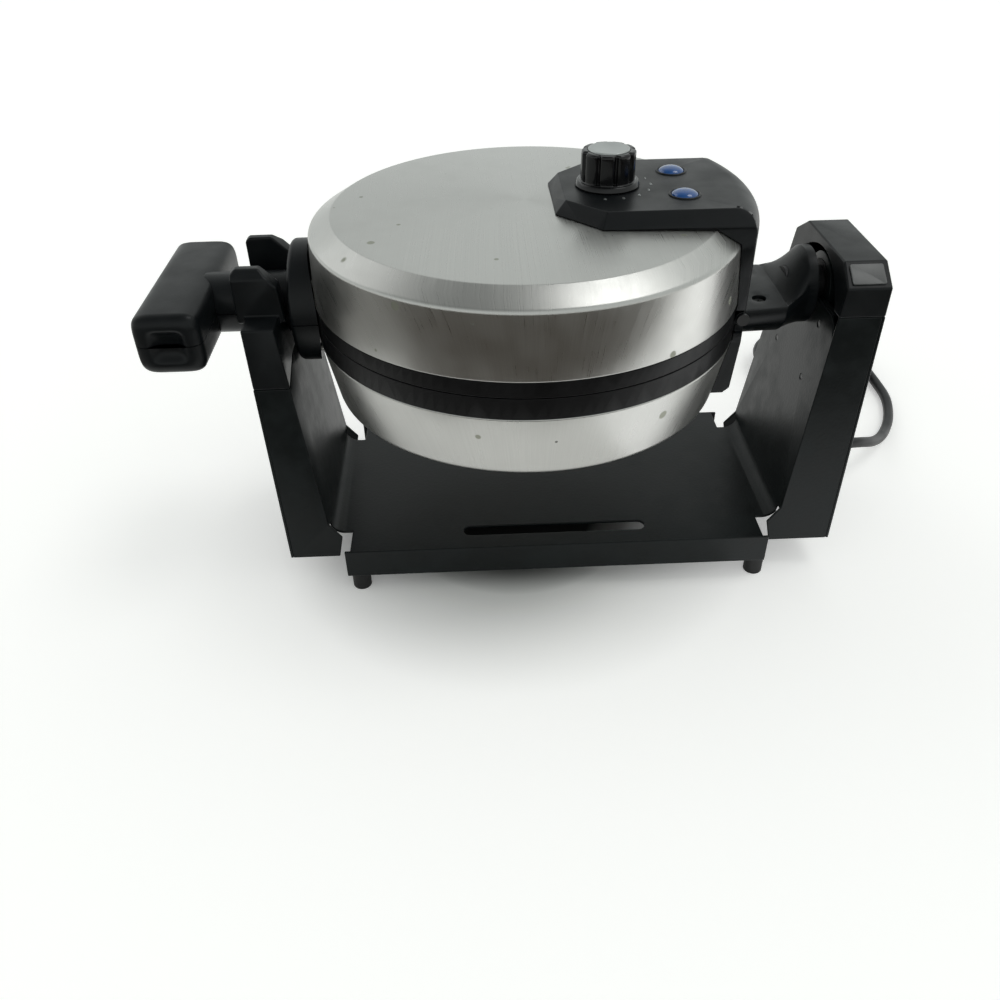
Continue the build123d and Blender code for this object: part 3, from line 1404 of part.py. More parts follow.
def tube(points, radius, bends):
    """A round tube along a path of straight runs joined by bends."""
    with BuildPart() as run:
        with BuildLine() as path:
            FilletPolyline(*[at(*p) for p in points], radius=bends)
        with BuildSketch(Plane(path.line @ 0, z_dir=path.line % 0)):
            Circle(radius)
        sweep()
    return run


inner_run = (
    (163.0, CORD_Y, CORD_Z),
    (157.0, CORD_Y, CORD_Z),
    (157.0, 20, -40),
    (163.0, 6, -16),
    (164.6, 0, 0),
    (150.5, 0, 0),
)
keep(tube(inner_run, LEAD_R, 3.2), "inner_lead")

body_run = ((149.0, 0, 0), (142.0, 0, 0), (129.2, 0, -4.4), (127.4, 0, WIRE_Z), (92.0, 0, WIRE_Z))
keep(tube(body_run, LEAD_R, 2.4), "body_lead")

RELIEF_X = out_x(1, CORD_Z)
RELIEF_END_X = RELIEF_X + RELIEF_LENGTH

with BuildPart() as strain_relief:
    with BuildSketch(across(RELIEF_X - 4)):
        with Locations((CORD_Y, CORD_Z)):
            Circle(RELIEF_NECK_R + 1.5)
    extrude(amount=2.2)
    with BuildSketch(across(RELIEF_X - 4)):
        with Locations((CORD_Y, CORD_Z)):
            Circle(RELIEF_NECK_R)
    extrude(amount=5)
    with BuildSketch(across(RELIEF_X + 0.4)):
        with Locations((CORD_Y, CORD_Z)):
            Circle(RELIEF_NECK_R + 1.8)
    extrude(amount=RELIEF_LENGTH - 0.4, taper=6)
    with BuildSketch(across(RELIEF_X - 5)):
        with Locations((CORD_Y, CORD_Z)):
            Circle(CORD_R)
    extrude(amount=RELIEF_LENGTH + 10, mode=Mode.SUBTRACT)
keep(strain_relief, "strain_relief")

FLOOR_Z = -AXIS_HEIGHT + CORD_R
COIL_LOW_Z = -AXIS_HEIGHT + CORD_R + TIE_GAP + TIE_WALL + 0.05
COIL_HIGH_Z = COIL_LOW_Z + CORD_D + COIL_GAP

cord_route = (
    (RELIEF_X + 2, CORD_Y, CORD_Z),
    (RELIEF_END_X + 6, CORD_Y, CORD_Z),
    (211, 30, -120.5),
    (227, 45, -131),
    (242, 64, -138.8),
    (255, 86, FLOOR_Z),
    (263.5, 112, FLOOR_Z),
    (264, 134, FLOOR_Z),
    (COIL_X + COIL_IN[0], 148, COIL_LOW_Z),
    (COIL_X + COIL_IN[0], COIL_Y - CORD_D, COIL_LOW_Z),
)


def bend_radii(points):
    """A bend radius at each inner point: less than half of the shorter run beside it."""
    radii = []
    for before, here, after in zip(points, points[1:], points[2:]):
        into = Vector(*here) - Vector(*before)
        out = Vector(*after) - Vector(*here)
        shorter = min(into.length, out.length)
        half_turn = radians(into.get_angle(out)) / 2
        radii.append(0.45 * shorter / tan(half_turn))
    return radii


route_radii = bend_radii(cord_route)
print("power cord bend radii", [round(r, 1) for r in route_radii])
keep(tube(cord_route, CORD_R, route_radii), "power_cord")



def half_turn(start, end, heading):
    """Two arcs that turn round from start to end, leaving along heading and coming back."""
    chord = end - start
    middle = (start + end) / 2 + heading * (chord.length / 2)
    TangentArc(start, middle, tangent=heading)
    TangentArc(middle, end, tangent=chord)


# the coil's crossings of its own X line, bottom layer spiralling in and top layer out
crossings = [at(COIL_X + COIL_IN[0], COIL_Y, COIL_LOW_Z)]
for reach, side in ((COIL_IN[1], -1), (COIL_IN[2], 1)):
    crossings.append(at(COIL_X + side * reach, COIL_Y, COIL_LOW_Z))
for reach, side in zip(COIL_OUT, (-1, 1, -1)):
    crossings.append(at(COIL_X + side * reach, COIL_Y, COIL_HIGH_Z))

with BuildPart() as cord_coil:
    with BuildLine() as coil_path:
        Line(crossings[0] - Vector(0, CORD_D, 0), crossings[0])
        for k in range(len(crossings) - 1):
            half_turn(crossings[k], crossings[k + 1], Vector(0, 1 if k % 2 == 0 else -1, 0))
        Line(crossings[-1], crossings[-1] - Vector(0, CORD_D, 0))
    with BuildSketch(Plane(coil_path.line @ 0, z_dir=coil_path.line % 0)):
        Circle(CORD_R)
    sweep()
keep(cord_coil, "cord_coil")

COIL_SAMPLES = 360
coil_points = [coil_path.line @ (k / COIL_SAMPLES) for k in range(COIL_SAMPLES + 1)]
coil_length = sum(edge.length for edge in coil_path.edges())
apart = round(4 * CORD_D * COIL_SAMPLES / coil_length)
coil_self_gap = min(
    (coil_points[i] - coil_points[j]).length - CORD_D
    for i in range(COIL_SAMPLES)
    for j in range(i + apart, COIL_SAMPLES + 1)
)
print("coil length", round(coil_length), "least gap between turns", round(coil_self_gap, 2))

TIE_X = COIL_X + 0.5
TIE_Y = COIL_Y - 31.85
TIE_R = CORD_R + TIE_GAP
TIE_WIDTH = 7.0

with BuildPart() as cord_tie:
    with BuildSketch(across(TIE_X - TIE_WIDTH / 2)):
        with Locations((TIE_Y, (COIL_LOW_Z + COIL_HIGH_Z) / 2)):
            SlotCenterToCenter(COIL_HIGH_Z - COIL_LOW_Z, 2 * (TIE_R + TIE_WALL), rotation=90)
            SlotCenterToCenter(COIL_HIGH_Z - COIL_LOW_Z, 2 * TIE_R, rotation=90, mode=Mode.SUBTRACT)
    extrude(amount=TIE_WIDTH)
keep(cord_tie, "cord_tie")

PLUG_X = COIL_X - COIL_OUT[-1]
PLUG_Y = 120.0
PLUG_Z = -AXIS_HEIGHT + PLUG_HEIGHT / 2
PLUG_CONE = 10.0

lead_route = (
    (PLUG_X, COIL_Y - CORD_D, COIL_HIGH_Z),
    (PLUG_X, COIL_Y - CORD_D - 9.5, COIL_HIGH_Z),
    (PLUG_X, PLUG_Y + PLUG_CONE + 4, PLUG_Z),
    (PLUG_X, PLUG_Y - 2, PLUG_Z),
)
lead_radii = bend_radii(lead_route)
print("plug lead bend radii", [round(r, 1) for r in lead_radii])
keep(tube(lead_route, CORD_R, lead_radii), "plug_lead")

PLUG_BACK = Plane(origin=at(PLUG_X, PLUG_Y, PLUG_Z), x_dir=(1, 0, 0), z_dir=(0, 1, 0))
PLUG_FACE = Plane(origin=at(PLUG_X, PLUG_Y - PLUG_LENGTH, PLUG_Z), x_dir=(1, 0, 0), z_dir=(0, -1, 0))

with BuildPart() as mains_plug:
    with BuildSketch(PLUG_BACK):
        RectangleRounded(PLUG_WIDTH, PLUG_HEIGHT, 5)
    extrude(amount=-PLUG_LENGTH)
    fillet(mains_plug.faces().sort_by(Axis.Y)[-1].edges(), 3)
    with BuildSketch(PLUG_BACK):
        Circle(CORD_R + 2.4)
    extrude(amount=PLUG_CONE, taper=7)
    with BuildSketch(PLUG_BACK):
        Circle(CORD_R)
    extrude(amount=PLUG_CONE + 2, both=True, mode=Mode.SUBTRACT)
    with BuildSketch(PLUG_FACE):
        with Locations((BLADE_SPACING / 2, 0), (-BLADE_SPACING / 2, 0)):
            Rectangle(BLADE_THICK, BLADE_WIDTH)
    extrude(amount=-BLADE_ROOT, mode=Mode.SUBTRACT)
keep(mains_plug, "mains_plug")

with BuildPart() as plug_blades:
    with BuildSketch(PLUG_FACE.offset(-BLADE_ROOT)):
        with Locations((BLADE_SPACING / 2, 0), (-BLADE_SPACING / 2, 0)):
            Rectangle(BLADE_THICK, BLADE_WIDTH)
    extrude(amount=BLADE_LENGTH + BLADE_ROOT)
keep(plug_blades, "plug_blades")

INSERT_LENGTH, INSERT_WIDTH, INSERT_THICK = 16.0, 11.0, 0.8
slope = Vector(0, CAP_SLOPE_HALF - CAP_FLAT_HALF, CAP_TOP_Z - CAP_SLOPE_Z)
slope_plane = Plane(
    origin=at(
        (web_x(1, CAP_SLOPE_Z) + out_x(1, CAP_SLOPE_Z)) / 2,
        -(CAP_SLOPE_HALF + CAP_FLAT_HALF) / 2,
        (CAP_TOP_Z + CAP_SLOPE_Z) / 2,
    ),
    x_dir=(1, 0, 0),
    z_dir=(0, -slope.Z, slope.Y),
)

with BuildPart() as cap_insert:
    with BuildSketch(slope_plane):
        RectangleRounded(INSERT_LENGTH, INSERT_WIDTH, 1)
    extrude(amount=INSERT_THICK)
keep(cap_insert, "cap_insert")
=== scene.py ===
"""Dresses the rotating waffle maker: its finishes, its smoothed surfaces, its cord and the studio."""
import json
import logging
from dataclasses import dataclass, field
from enum import Enum
from math import radians

import bmesh
import bpy
import numpy as np
from mathutils import Matrix, Vector

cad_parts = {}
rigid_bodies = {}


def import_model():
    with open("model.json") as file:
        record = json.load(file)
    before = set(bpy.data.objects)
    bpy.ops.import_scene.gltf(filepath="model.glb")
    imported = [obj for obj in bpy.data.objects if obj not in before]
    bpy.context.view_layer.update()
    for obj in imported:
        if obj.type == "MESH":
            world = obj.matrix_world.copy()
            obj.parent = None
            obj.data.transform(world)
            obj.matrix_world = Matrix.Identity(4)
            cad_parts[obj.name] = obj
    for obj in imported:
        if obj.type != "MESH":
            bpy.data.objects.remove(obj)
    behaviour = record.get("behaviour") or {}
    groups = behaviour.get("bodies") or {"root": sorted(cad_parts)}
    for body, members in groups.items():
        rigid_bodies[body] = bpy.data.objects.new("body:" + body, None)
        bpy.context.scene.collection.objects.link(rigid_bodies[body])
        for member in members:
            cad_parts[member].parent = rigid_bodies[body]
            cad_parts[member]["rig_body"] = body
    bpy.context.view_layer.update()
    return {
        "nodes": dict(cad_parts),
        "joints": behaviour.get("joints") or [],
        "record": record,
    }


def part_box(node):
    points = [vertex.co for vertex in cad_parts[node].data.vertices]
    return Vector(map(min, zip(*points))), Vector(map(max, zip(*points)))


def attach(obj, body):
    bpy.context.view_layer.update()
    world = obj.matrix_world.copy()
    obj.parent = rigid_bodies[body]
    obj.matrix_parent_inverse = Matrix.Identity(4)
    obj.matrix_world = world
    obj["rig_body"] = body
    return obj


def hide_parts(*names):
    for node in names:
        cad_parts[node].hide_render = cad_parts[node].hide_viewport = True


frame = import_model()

MM = 0.001
LOG = logging.getLogger("waffle_maker")

CAD_MERGE = 2e-6           # metres within which a CAD copy's points merge
CAD_SHARP = 32.0           # degrees of turn over which a CAD copy's edge shades sharp
BEVEL_FROM = 28.0          # degrees of turn over which it is rounded
BEVEL_SEGMENTS = 3

# painted shadow: the stage floor is painted dark under the tray, where shade falls
PAINTED_SHADOW_RING = (0.045, 0.07)  # metres from the origin over which the floor turns from dark to pale
PAINTED_SHADOW_COLOUR = (0.04, 0.04, 0.04)
GLOW_RING = (0.065, 0.14)  # metres from the origin over which the floor's own light grows

LID_LOW, LID_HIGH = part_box("lid_shell")
BODY_X = (LID_LOW.x + LID_HIGH.x) / 2
FLIP_Z = next(j["pos_m"][2] for j in frame["joints"] if j["name"] == "body_flip")


def place(points: np.ndarray) -> np.ndarray:
    """Turns millimetres from the body's centre on the flip axis into metres in the row frame.

    Args:
        points: an array whose last axis is x, y, z.

    Returns:
        The same array in metres.
    """
    return np.asarray(points, float) * MM + np.array([BODY_X, 0.0, FLIP_Z])


# Meshes from arrays


def grid_faces(rows: int, columns: int, wrap_rows: bool, wrap_columns: bool) -> np.ndarray:
    """Quads between neighbours of a grid: each joins a point with the next row's and column's.

    Args:
        rows: number of rows.
        columns: number of columns.
        wrap_rows: whether the last row joins the first.
        wrap_columns: whether the last column joins the first.

    Returns:
        An array of four point numbers a face.
    """
    row = np.arange(rows if wrap_rows else rows - 1)
    column = np.arange(columns if wrap_columns else columns - 1)
    i, j = np.meshgrid(row, column, indexing="ij")
    below = ((i + 1) % rows) * columns
    beside = (j + 1) % columns
    quads = np.stack([i * columns + j, below + j, below + beside, i * columns + beside], axis=-1)
    return quads.reshape(-1, 4)


def linked(name: str, data: bpy.types.ID) -> bpy.types.Object:
    """Makes an object of some data, at the origin, and puts it in the scene.

    Args:
        name: the object's name.
        data: its mesh, curve, camera or light.

    Returns:
        The new object.
    """
    piece = bpy.data.objects.new(name, data)
    bpy.context.scene.collection.objects.link(piece)
    return piece


def full_turn(points: int) -> np.ndarray:
    """That many even angles round a full turn, from 0, in radians."""
    return np.linspace(0, 2 * np.pi, points, endpoint=False)


def squared(angle: np.ndarray, power: float | np.ndarray) -> tuple[np.ndarray, np.ndarray]:
    """Points of a superellipse: sign(cos a) |cos a|^power and sign(sin a) |sin a|^power.

    Args:
        angle: the angles.
        power: 1 for a circle, towards 0 for a square.

    Returns:
        The two coordinates.
    """
    wide, tall = (np.sign(part) * np.abs(part) ** power for part in (np.cos(angle), np.sin(angle)))
    return wide, tall


@dataclass
class Patch:
    """One surface given on a grid, in millimetres from the body's centre."""

    points: np.ndarray
    wrap_rows: bool = False
    wrap_columns: bool = True


def surface(name: str, patches: list[Patch], sharp: float = 38.0) -> bpy.types.Object:
    """Makes one object of several patches, with seams and poles closed and faces outward.

    Args:
        name: the object's name.
        patches: the surfaces.
        sharp: edges that turn by more than this many degrees stay sharp.

    Returns:
        The new object, at the origin.
    """
    points: list[np.ndarray] = []
    faces: list[np.ndarray] = []
    count = 0
    for patch in patches:
        rows, columns = patch.points.shape[:2]
        points.append(patch.points.reshape(-1, 3))
        faces.append(grid_faces(rows, columns, patch.wrap_rows, patch.wrap_columns) + count)
        count += rows * columns
    mesh = bpy.data.meshes.new(name)
    mesh.from_pydata(place(np.concatenate(points)), [], np.concatenate(faces))
    clean(mesh, sharp)
    return linked(name, mesh)


def shade(mesh: bpy.types.Mesh, sharp: float) -> None:
    """Shades a mesh smooth, apart from edges that turn by more than sharp degrees."""
    mesh.polygons.foreach_set("use_smooth", np.ones(len(mesh.polygons), bool))
    mesh.set_sharp_from_angle(angle=radians(sharp))


def clean(mesh: bpy.types.Mesh, sharp: float) -> None:
    """Merges doubled points, drops faces with no area and turns the rest outward.

    Args:
        mesh: the mesh to clean.
        sharp: edges that turn by more than this many degrees stay sharp.
    """
    work = bmesh.new()
    work.from_mesh(mesh)
    bmesh.ops.remove_doubles(work, verts=work.verts, dist=1e-6)
    bmesh.ops.dissolve_degenerate(work, edges=work.edges, dist=1e-7)
    bmesh.ops.recalc_face_normals(work, faces=work.faces)
    work.to_mesh(mesh)
    work.free()
    shade(mesh, sharp)


def softened(node: str, width: float) -> bpy.types.Object:
    """A merged copy of a CAD node with its edges rounded, standing for the node.

    Args:
        node: the CAD node.
        width: the rounding in millimetres.

    Returns:
        The new object, riding on the node's body.
    """
    source = frame["nodes"][node]
    mesh = source.data.copy()
    mesh.materials.clear()
    work = bmesh.new()
    work.from_mesh(mesh)
    bmesh.ops.remove_doubles(work, verts=work.verts, dist=CAD_MERGE)
    work.to_mesh(mesh)
    work.free()
    shade(mesh, CAD_SHARP)
    piece = linked(f"{node}_body", mesh)
    bevel = piece.modifiers.new("rounding", "BEVEL")
    bevel.width = width * MM
    bevel.segments = BEVEL_SEGMENTS
    bevel.limit_method = "ANGLE"
    bevel.angle_limit = radians(BEVEL_FROM)
    bevel.use_clamp_overlap = False
    bevel.loop_slide = False
    bevel.harden_normals = True
    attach(piece, source["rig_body"])
    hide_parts(node)
    return piece


def rounded_line(corners: np.ndarray, radii: list[float], steps: int = 7) -> np.ndarray:
    """A polyline whose corners are rounded by arcs.

    At a corner with unit directions a (back) and b (onward) and half angle h between them, the arc
    of radius r has its centre r / sin(h) along their bisector and starts r / tan(h) from the corner.

    Args:
        corners: the corner points, two numbers each.
        radii: a radius for each inner corner.
        steps: points on each arc.

    Returns:
        The points of the rounded line.
    """
    corners = np.asarray(corners, float)
    line = [corners[:1]]
    for before, here, after, radius in zip(corners, corners[1:], corners[2:], radii):
        back = (before - here) / np.linalg.norm(before - here)
        onward = (after - here) / np.linalg.norm(after - here)
        half = np.arccos(np.clip(back @ onward, -1, 1)) / 2
        bisector = (back + onward) / np.linalg.norm(back + onward)
        centre = here + bisector * radius / np.sin(half)
        first = here + back * radius / np.tan(half) - centre
        last = here + onward * radius / np.tan(half) - centre
        share = np.linspace(0, 1, steps)[:, None]
        turn = np.pi - 2 * half
        arc = (np.sin((1 - share) * turn) * first + np.sin(share * turn) * last) / np.sin(turn)
        line.append(centre + arc)
    line.append(corners[-1:])
    return np.concatenate(line)


def finer(profile: np.ndarray, end: int, added: int) -> np.ndarray:
    """Adds even points along one straight stretch of a profile.

    Args:
        profile: the profile.
        end: the number of the point at which the stretch ends.
        added: how many points to add.

    Returns:
        The longer profile.
    """
    share = np.linspace(0, 1, added + 2)[1:-1, None]
    between = profile[end - 1] * (1 - share) + profile[end] * share
    return np.concatenate([profile[:end], between, profile[end:]])


def turned(profile: np.ndarray, segments: int, centre: tuple[float, float] = (0.0, 0.0)) -> Patch:
    """Turns a profile of radius and height about an upright axis.

    A point at radius r and height z goes to (r cos a, r sin a, z) for each angle a, from the axis.

    Args:
        profile: points of radius and height, in millimetres.
        segments: points around.
        centre: the axis's x and y.

    Returns:
        The turned surface.
    """
    angle = full_turn(segments)
    radius, height = profile[:, :1], profile[:, 1:]
    x, y = radius * np.cos(angle), radius * np.sin(angle)
    return Patch(np.stack([x + centre[0], y + centre[1], np.broadcast_to(height, x.shape)], axis=-1))


# Node graphs and shared effects


class Graph:
    """A node tree with short calls for nodes and links."""

    def __init__(self, tree: bpy.types.NodeTree) -> None:
        """Keeps the tree."""
        self.tree = tree

    def add(self, kind: str, **settings: object) -> bpy.types.Node:
        """Adds a node and sets its properties.

        Args:
            kind: the node's type name.
            **settings: its properties.

        Returns:
            The node.
        """
        node = self.tree.nodes.new(kind)
        for key, value in settings.items():
            setattr(node, key, value)
        return node

    def link(self, source: bpy.types.NodeSocket, target: bpy.types.NodeSocket) -> None:
        """Joins an output to an input."""
        self.tree.links.new(source, target)

    def math(self, operation: str, *values: object) -> bpy.types.NodeSocket:
        """A Math node of sockets and numbers.

        Args:
            operation: the Math node's operation.
            *values: sockets or numbers, in order.

        Returns:
            Its output.
        """
        node = self.add("ShaderNodeMath", operation=operation)
        for slot, value in zip(node.inputs, values):
            if isinstance(value, (int, float)):
                slot.default_value = value
            else:
                self.link(value, slot)
        return node.outputs[0]

    def noise(self, vector: bpy.types.NodeSocket, scale: float, detail: float = 3.0) -> bpy.types.NodeSocket:
        """A noise value over a vector.

        Args:
            vector: the coordinates.
            scale: features a metre.
            detail: octaves.

        Returns:
            The noise factor, about 0.5 on average.
        """
        node = self.add("ShaderNodeTexNoise")
        node.inputs["Scale"].default_value = scale
        node.inputs["Detail"].default_value = detail
        self.link(vector, node.inputs["Vector"])
        return node.outputs["Fac"]

    def stretch(
        self, value: object, low: float, high: float, to_low: float, to_high: float
    ) -> bpy.types.NodeSocket:
        """Maps a value from one range to another, held within it.

        Args:
            value: the socket to map.
            low: the input's low end.
            high: the input's high end.
            to_low: the result at the low end.
            to_high: the result at the high end.

        Returns:
            The mapped value.
        """
        node = self.add("ShaderNodeMapRange")
        for key, number in (("From Min", low), ("From Max", high), ("To Min", to_low), ("To Max", to_high)):
            node.inputs[key].default_value = number
        self.link(value, node.inputs["Value"])
        return node.outputs["Result"]

    def blend(self, factor: object, first: object, second: tuple) -> bpy.types.NodeSocket:
        """Lays a plain colour over another colour by a mask.

        Args:
            factor: the mask.
            first: the colour underneath, as a socket or plain.
            second: the plain colour on top.

        Returns:
            The mixed colour.
        """
        node = self.add("ShaderNodeMix", data_type="RGBA")
        if isinstance(first, tuple):
            node.inputs["A"].default_value = (*first, 1)
        else:
            self.link(first, node.inputs["A"])
        node.inputs["B"].default_value = (*second, 1)
        self.link(factor, node.inputs["Factor"])
        return node.outputs["Result"]


def make_group(name: str, outputs: list[str], **numbers: float) -> tuple:
    """Starts a shader node group with a Vector input, number inputs and number outputs.

    Args:
        name: the group's name.
        outputs: names of its outputs.
        **numbers: its other inputs and their defaults, with _ for a space.

    Returns:
        The group, its graph, its input node and its output node.
    """
    tree = bpy.data.node_groups.new(name, "ShaderNodeTree")
    tree.interface.new_socket(name="Vector", in_out="INPUT", socket_type="NodeSocketVector")
    for key, default in numbers.items():
        spoken = key.replace("_", " ")
        socket = tree.interface.new_socket(name=spoken, in_out="INPUT", socket_type="NodeSocketFloat")
        socket.default_value = default
    for key in outputs:
        tree.interface.new_socket(name=key, in_out="OUTPUT", socket_type="NodeSocketFloat")
    graph = Graph(tree)
    return tree, graph, graph.add("NodeGroupInput"), graph.add("NodeGroupOutput")


class Effects:
    """The node groups that several finishes share, each built once."""

    def __init__(self) -> None:
        """Builds every group."""
        self.grain = self.build_grain()
        self.brushing = self.build_brushing()
        self.smudges = self.build_smudges()
        self.spots = self.build_spots()

    @staticmethod
    def build_grain() -> bpy.types.NodeTree:
        """Moulded or sprayed grain: two noises of different size, as a height and a mask."""
        tree, graph, source, target = make_group("grain", ["Height", "Mask"], Scale=2500.0)
        fine = graph.add("ShaderNodeTexNoise")
        coarse = graph.add("ShaderNodeTexVoronoi", feature="SMOOTH_F1")
        for node in (fine, coarse):
            graph.link(source.outputs["Vector"], node.inputs["Vector"])
            graph.link(source.outputs["Scale"], node.inputs["Scale"])
        fine.inputs["Detail"].default_value = 4
        height = graph.math("ADD", fine.outputs["Fac"], coarse.outputs["Distance"])
        graph.link(height, target.inputs["Height"])
        graph.link(graph.noise(source.outputs["Vector"], 60.0), target.inputs["Mask"])
        return tree

    @staticmethod
    def build_brushing() -> bpy.types.NodeTree:
        """Brushing lines of a sheet that was brushed front to back and then drawn into a dish.

        A point of the wall lies on the flat sheet at its own radius plus its distance from the fold,
        so the lines run front to back on the flat, upright on the front wall and level on the end walls.
        """
        tree, graph, source, target = make_group(
            "brushing", ["Height", "Tone"], Centre=BODY_X, Fold_Height=0.186, Fineness=2400.0
        )
        parts = graph.add("ShaderNodeSeparateXYZ")
        graph.link(source.outputs["Vector"], parts.inputs[0])
        x = graph.math("SUBTRACT", parts.outputs["X"], source.outputs["Centre"])
        y, z = parts.outputs["Y"], parts.outputs["Z"]
        squares = graph.math("ADD", graph.math("MULTIPLY", x, x), graph.math("MULTIPLY", y, y))
        away = graph.math("SQRT", squares)
        drop = graph.math("ABSOLUTE", graph.math("SUBTRACT", z, source.outputs["Fold Height"]))
        longer = graph.math("DIVIDE", graph.math("ADD", away, drop), graph.math("MAXIMUM", away, 0.001))
        flat = graph.add("ShaderNodeCombineXYZ")
        across = graph.math("MULTIPLY", graph.math("MULTIPLY", x, longer), source.outputs["Fineness"])
        graph.link(across, flat.inputs["X"])
        graph.link(graph.math("MULTIPLY", graph.math("MULTIPLY", y, longer), 9.0), flat.inputs["Y"])
        graph.link(graph.math("MULTIPLY", drop, 40.0), flat.inputs["Z"])
        lines = graph.noise(flat.outputs[0], 1.0, 3.0)
        graph.link(lines, target.inputs["Height"])
        graph.link(graph.stretch(lines, 0.3, 0.7, 0.0, 1.0), target.inputs["Tone"])
        return tree

    @staticmethod
    def build_smudges() -> bpy.types.NodeTree:
        """Handling marks: large soft blotches, broken up by a finer noise."""
        tree, graph, source, target = make_group("smudges", ["Mask"], Amount=0.5)
        large = graph.noise(source.outputs["Vector"], 14.0, 5.0)
        small = graph.noise(source.outputs["Vector"], 90.0, 6.0)
        blotch = graph.stretch(graph.math("MULTIPLY", large, small), 0.2, 0.36, 0.0, 1.0)
        graph.link(graph.math("MULTIPLY", blotch, source.outputs["Amount"]), target.inputs["Mask"])
        return tree

    @staticmethod
    def build_spots() -> bpy.types.NodeTree:
        """Dried water spots: the middles of some random cells, each with a soft edge."""
        tree, graph, source, target = make_group("spots", ["Mask"], Scale=90.0, Share=0.2, Size=0.3)
        cells = graph.add("ShaderNodeTexVoronoi")
        graph.link(source.outputs["Vector"], cells.inputs["Vector"])
        graph.link(source.outputs["Scale"], cells.inputs["Scale"])
        chosen = graph.add("ShaderNodeSeparateColor")
        graph.link(cells.outputs["Color"], chosen.inputs[0])
        here = graph.math("LESS_THAN", chosen.outputs[0], source.outputs["Share"])
        size = graph.math("MULTIPLY", source.outputs["Size"], chosen.outputs[1])
        inside = graph.math("SUBTRACT", 1.0, graph.math("DIVIDE", cells.outputs["Distance"], size))
        soft = graph.stretch(inside, 0.0, 0.25, 0.0, 1.0)
        graph.link(graph.math("MULTIPLY", here, soft), target.inputs["Mask"])
        return tree


EFFECTS = Effects()


# Finishes


@dataclass(frozen=True)
class Finish:
    """A material's plain numbers, and the start of its graph."""

    name: str
    colour: tuple[float, float, float]
    roughness: float = 0.5
    metallic: float = 0.0
    sheen: float = 0.5

    def start(self) -> tuple[bpy.types.Material, Graph, bpy.types.Node, bpy.types.NodeSocket]:
        """Makes the material with its shader.

        Returns:
            The material, its graph, its shader and the object coordinates.
        """
        material = bpy.data.materials.new(self.name)
        material.use_nodes = True
        graph = Graph(material.node_tree)
        shader = material.node_tree.nodes["Principled BSDF"]
        shader.inputs["Base Color"].default_value = (*self.colour, 1)
        shader.inputs["Roughness"].default_value = self.roughness
        shader.inputs["Metallic"].default_value = self.metallic
        shader.inputs["Specular IOR Level"].default_value = self.sheen
        return material, graph, shader, graph.add("ShaderNodeTexCoord").outputs["Object"]

    @staticmethod
    def use(graph: Graph, group: bpy.types.NodeTree, vector: object, **values: float) -> bpy.types.Node:
        """Places a shared effect with its own values.

        Args:
            graph: the material's graph.
            group: the effect.
            vector: the coordinates it reads.
            **values: numbers for its sockets, with _ for a space.

        Returns:
            The group node.
        """
        node = graph.add("ShaderNodeGroup", node_tree=group)
        graph.link(vector, node.inputs["Vector"])
        for key, value in values.items():
            node.inputs[key.replace("_", " ")].default_value = value
        return node

    @staticmethod
    def bump(
        graph: Graph, shader: bpy.types.Node, height: object, distance: float, strength: float = 1.0
    ) -> None:
        """Feeds a height to the shader's normal.

        Args:
            graph: the material's graph.
            shader: its shader.
            height: the height socket.
            distance: the relief in millimetres.
            strength: how much of it shows.
        """
        node = graph.add("ShaderNodeBump")
        node.inputs["Distance"].default_value = distance * MM
        node.inputs["Strength"].default_value = strength
        graph.link(height, node.inputs["Height"])
        graph.link(node.outputs["Normal"], shader.inputs["Normal"])


@dataclass(frozen=True)
class Moulded(Finish):
    """Satin plastic or rubber with a fine moulded grain and faint handling marks."""

    grain: float = 0.02
    grain_scale: float = 3200.0
    coat: float = 0.0
    paler: float = 1.5

    def build(self) -> bpy.types.Material:
        """The finished material."""
        material, graph, shader, where = self.start()
        shader.inputs["Coat Weight"].default_value = self.coat
        shader.inputs["Coat Roughness"].default_value = 0.12
        grain = self.use(graph, EFFECTS.grain, where, Scale=self.grain_scale)
        marks = self.use(graph, EFFECTS.smudges, where, Amount=0.6)
        pale = tuple(min(1.0, part * self.paler + 0.001) for part in self.colour)
        graph.link(graph.blend(marks.outputs["Mask"], self.colour, pale), shader.inputs["Base Color"])
        rough = graph.stretch(grain.outputs["Mask"], 0.3, 0.7, self.roughness - 0.06, self.roughness + 0.06)
        graph.link(rough, shader.inputs["Roughness"])
        self.bump(graph, shader, grain.outputs["Height"], self.grain)
        return material


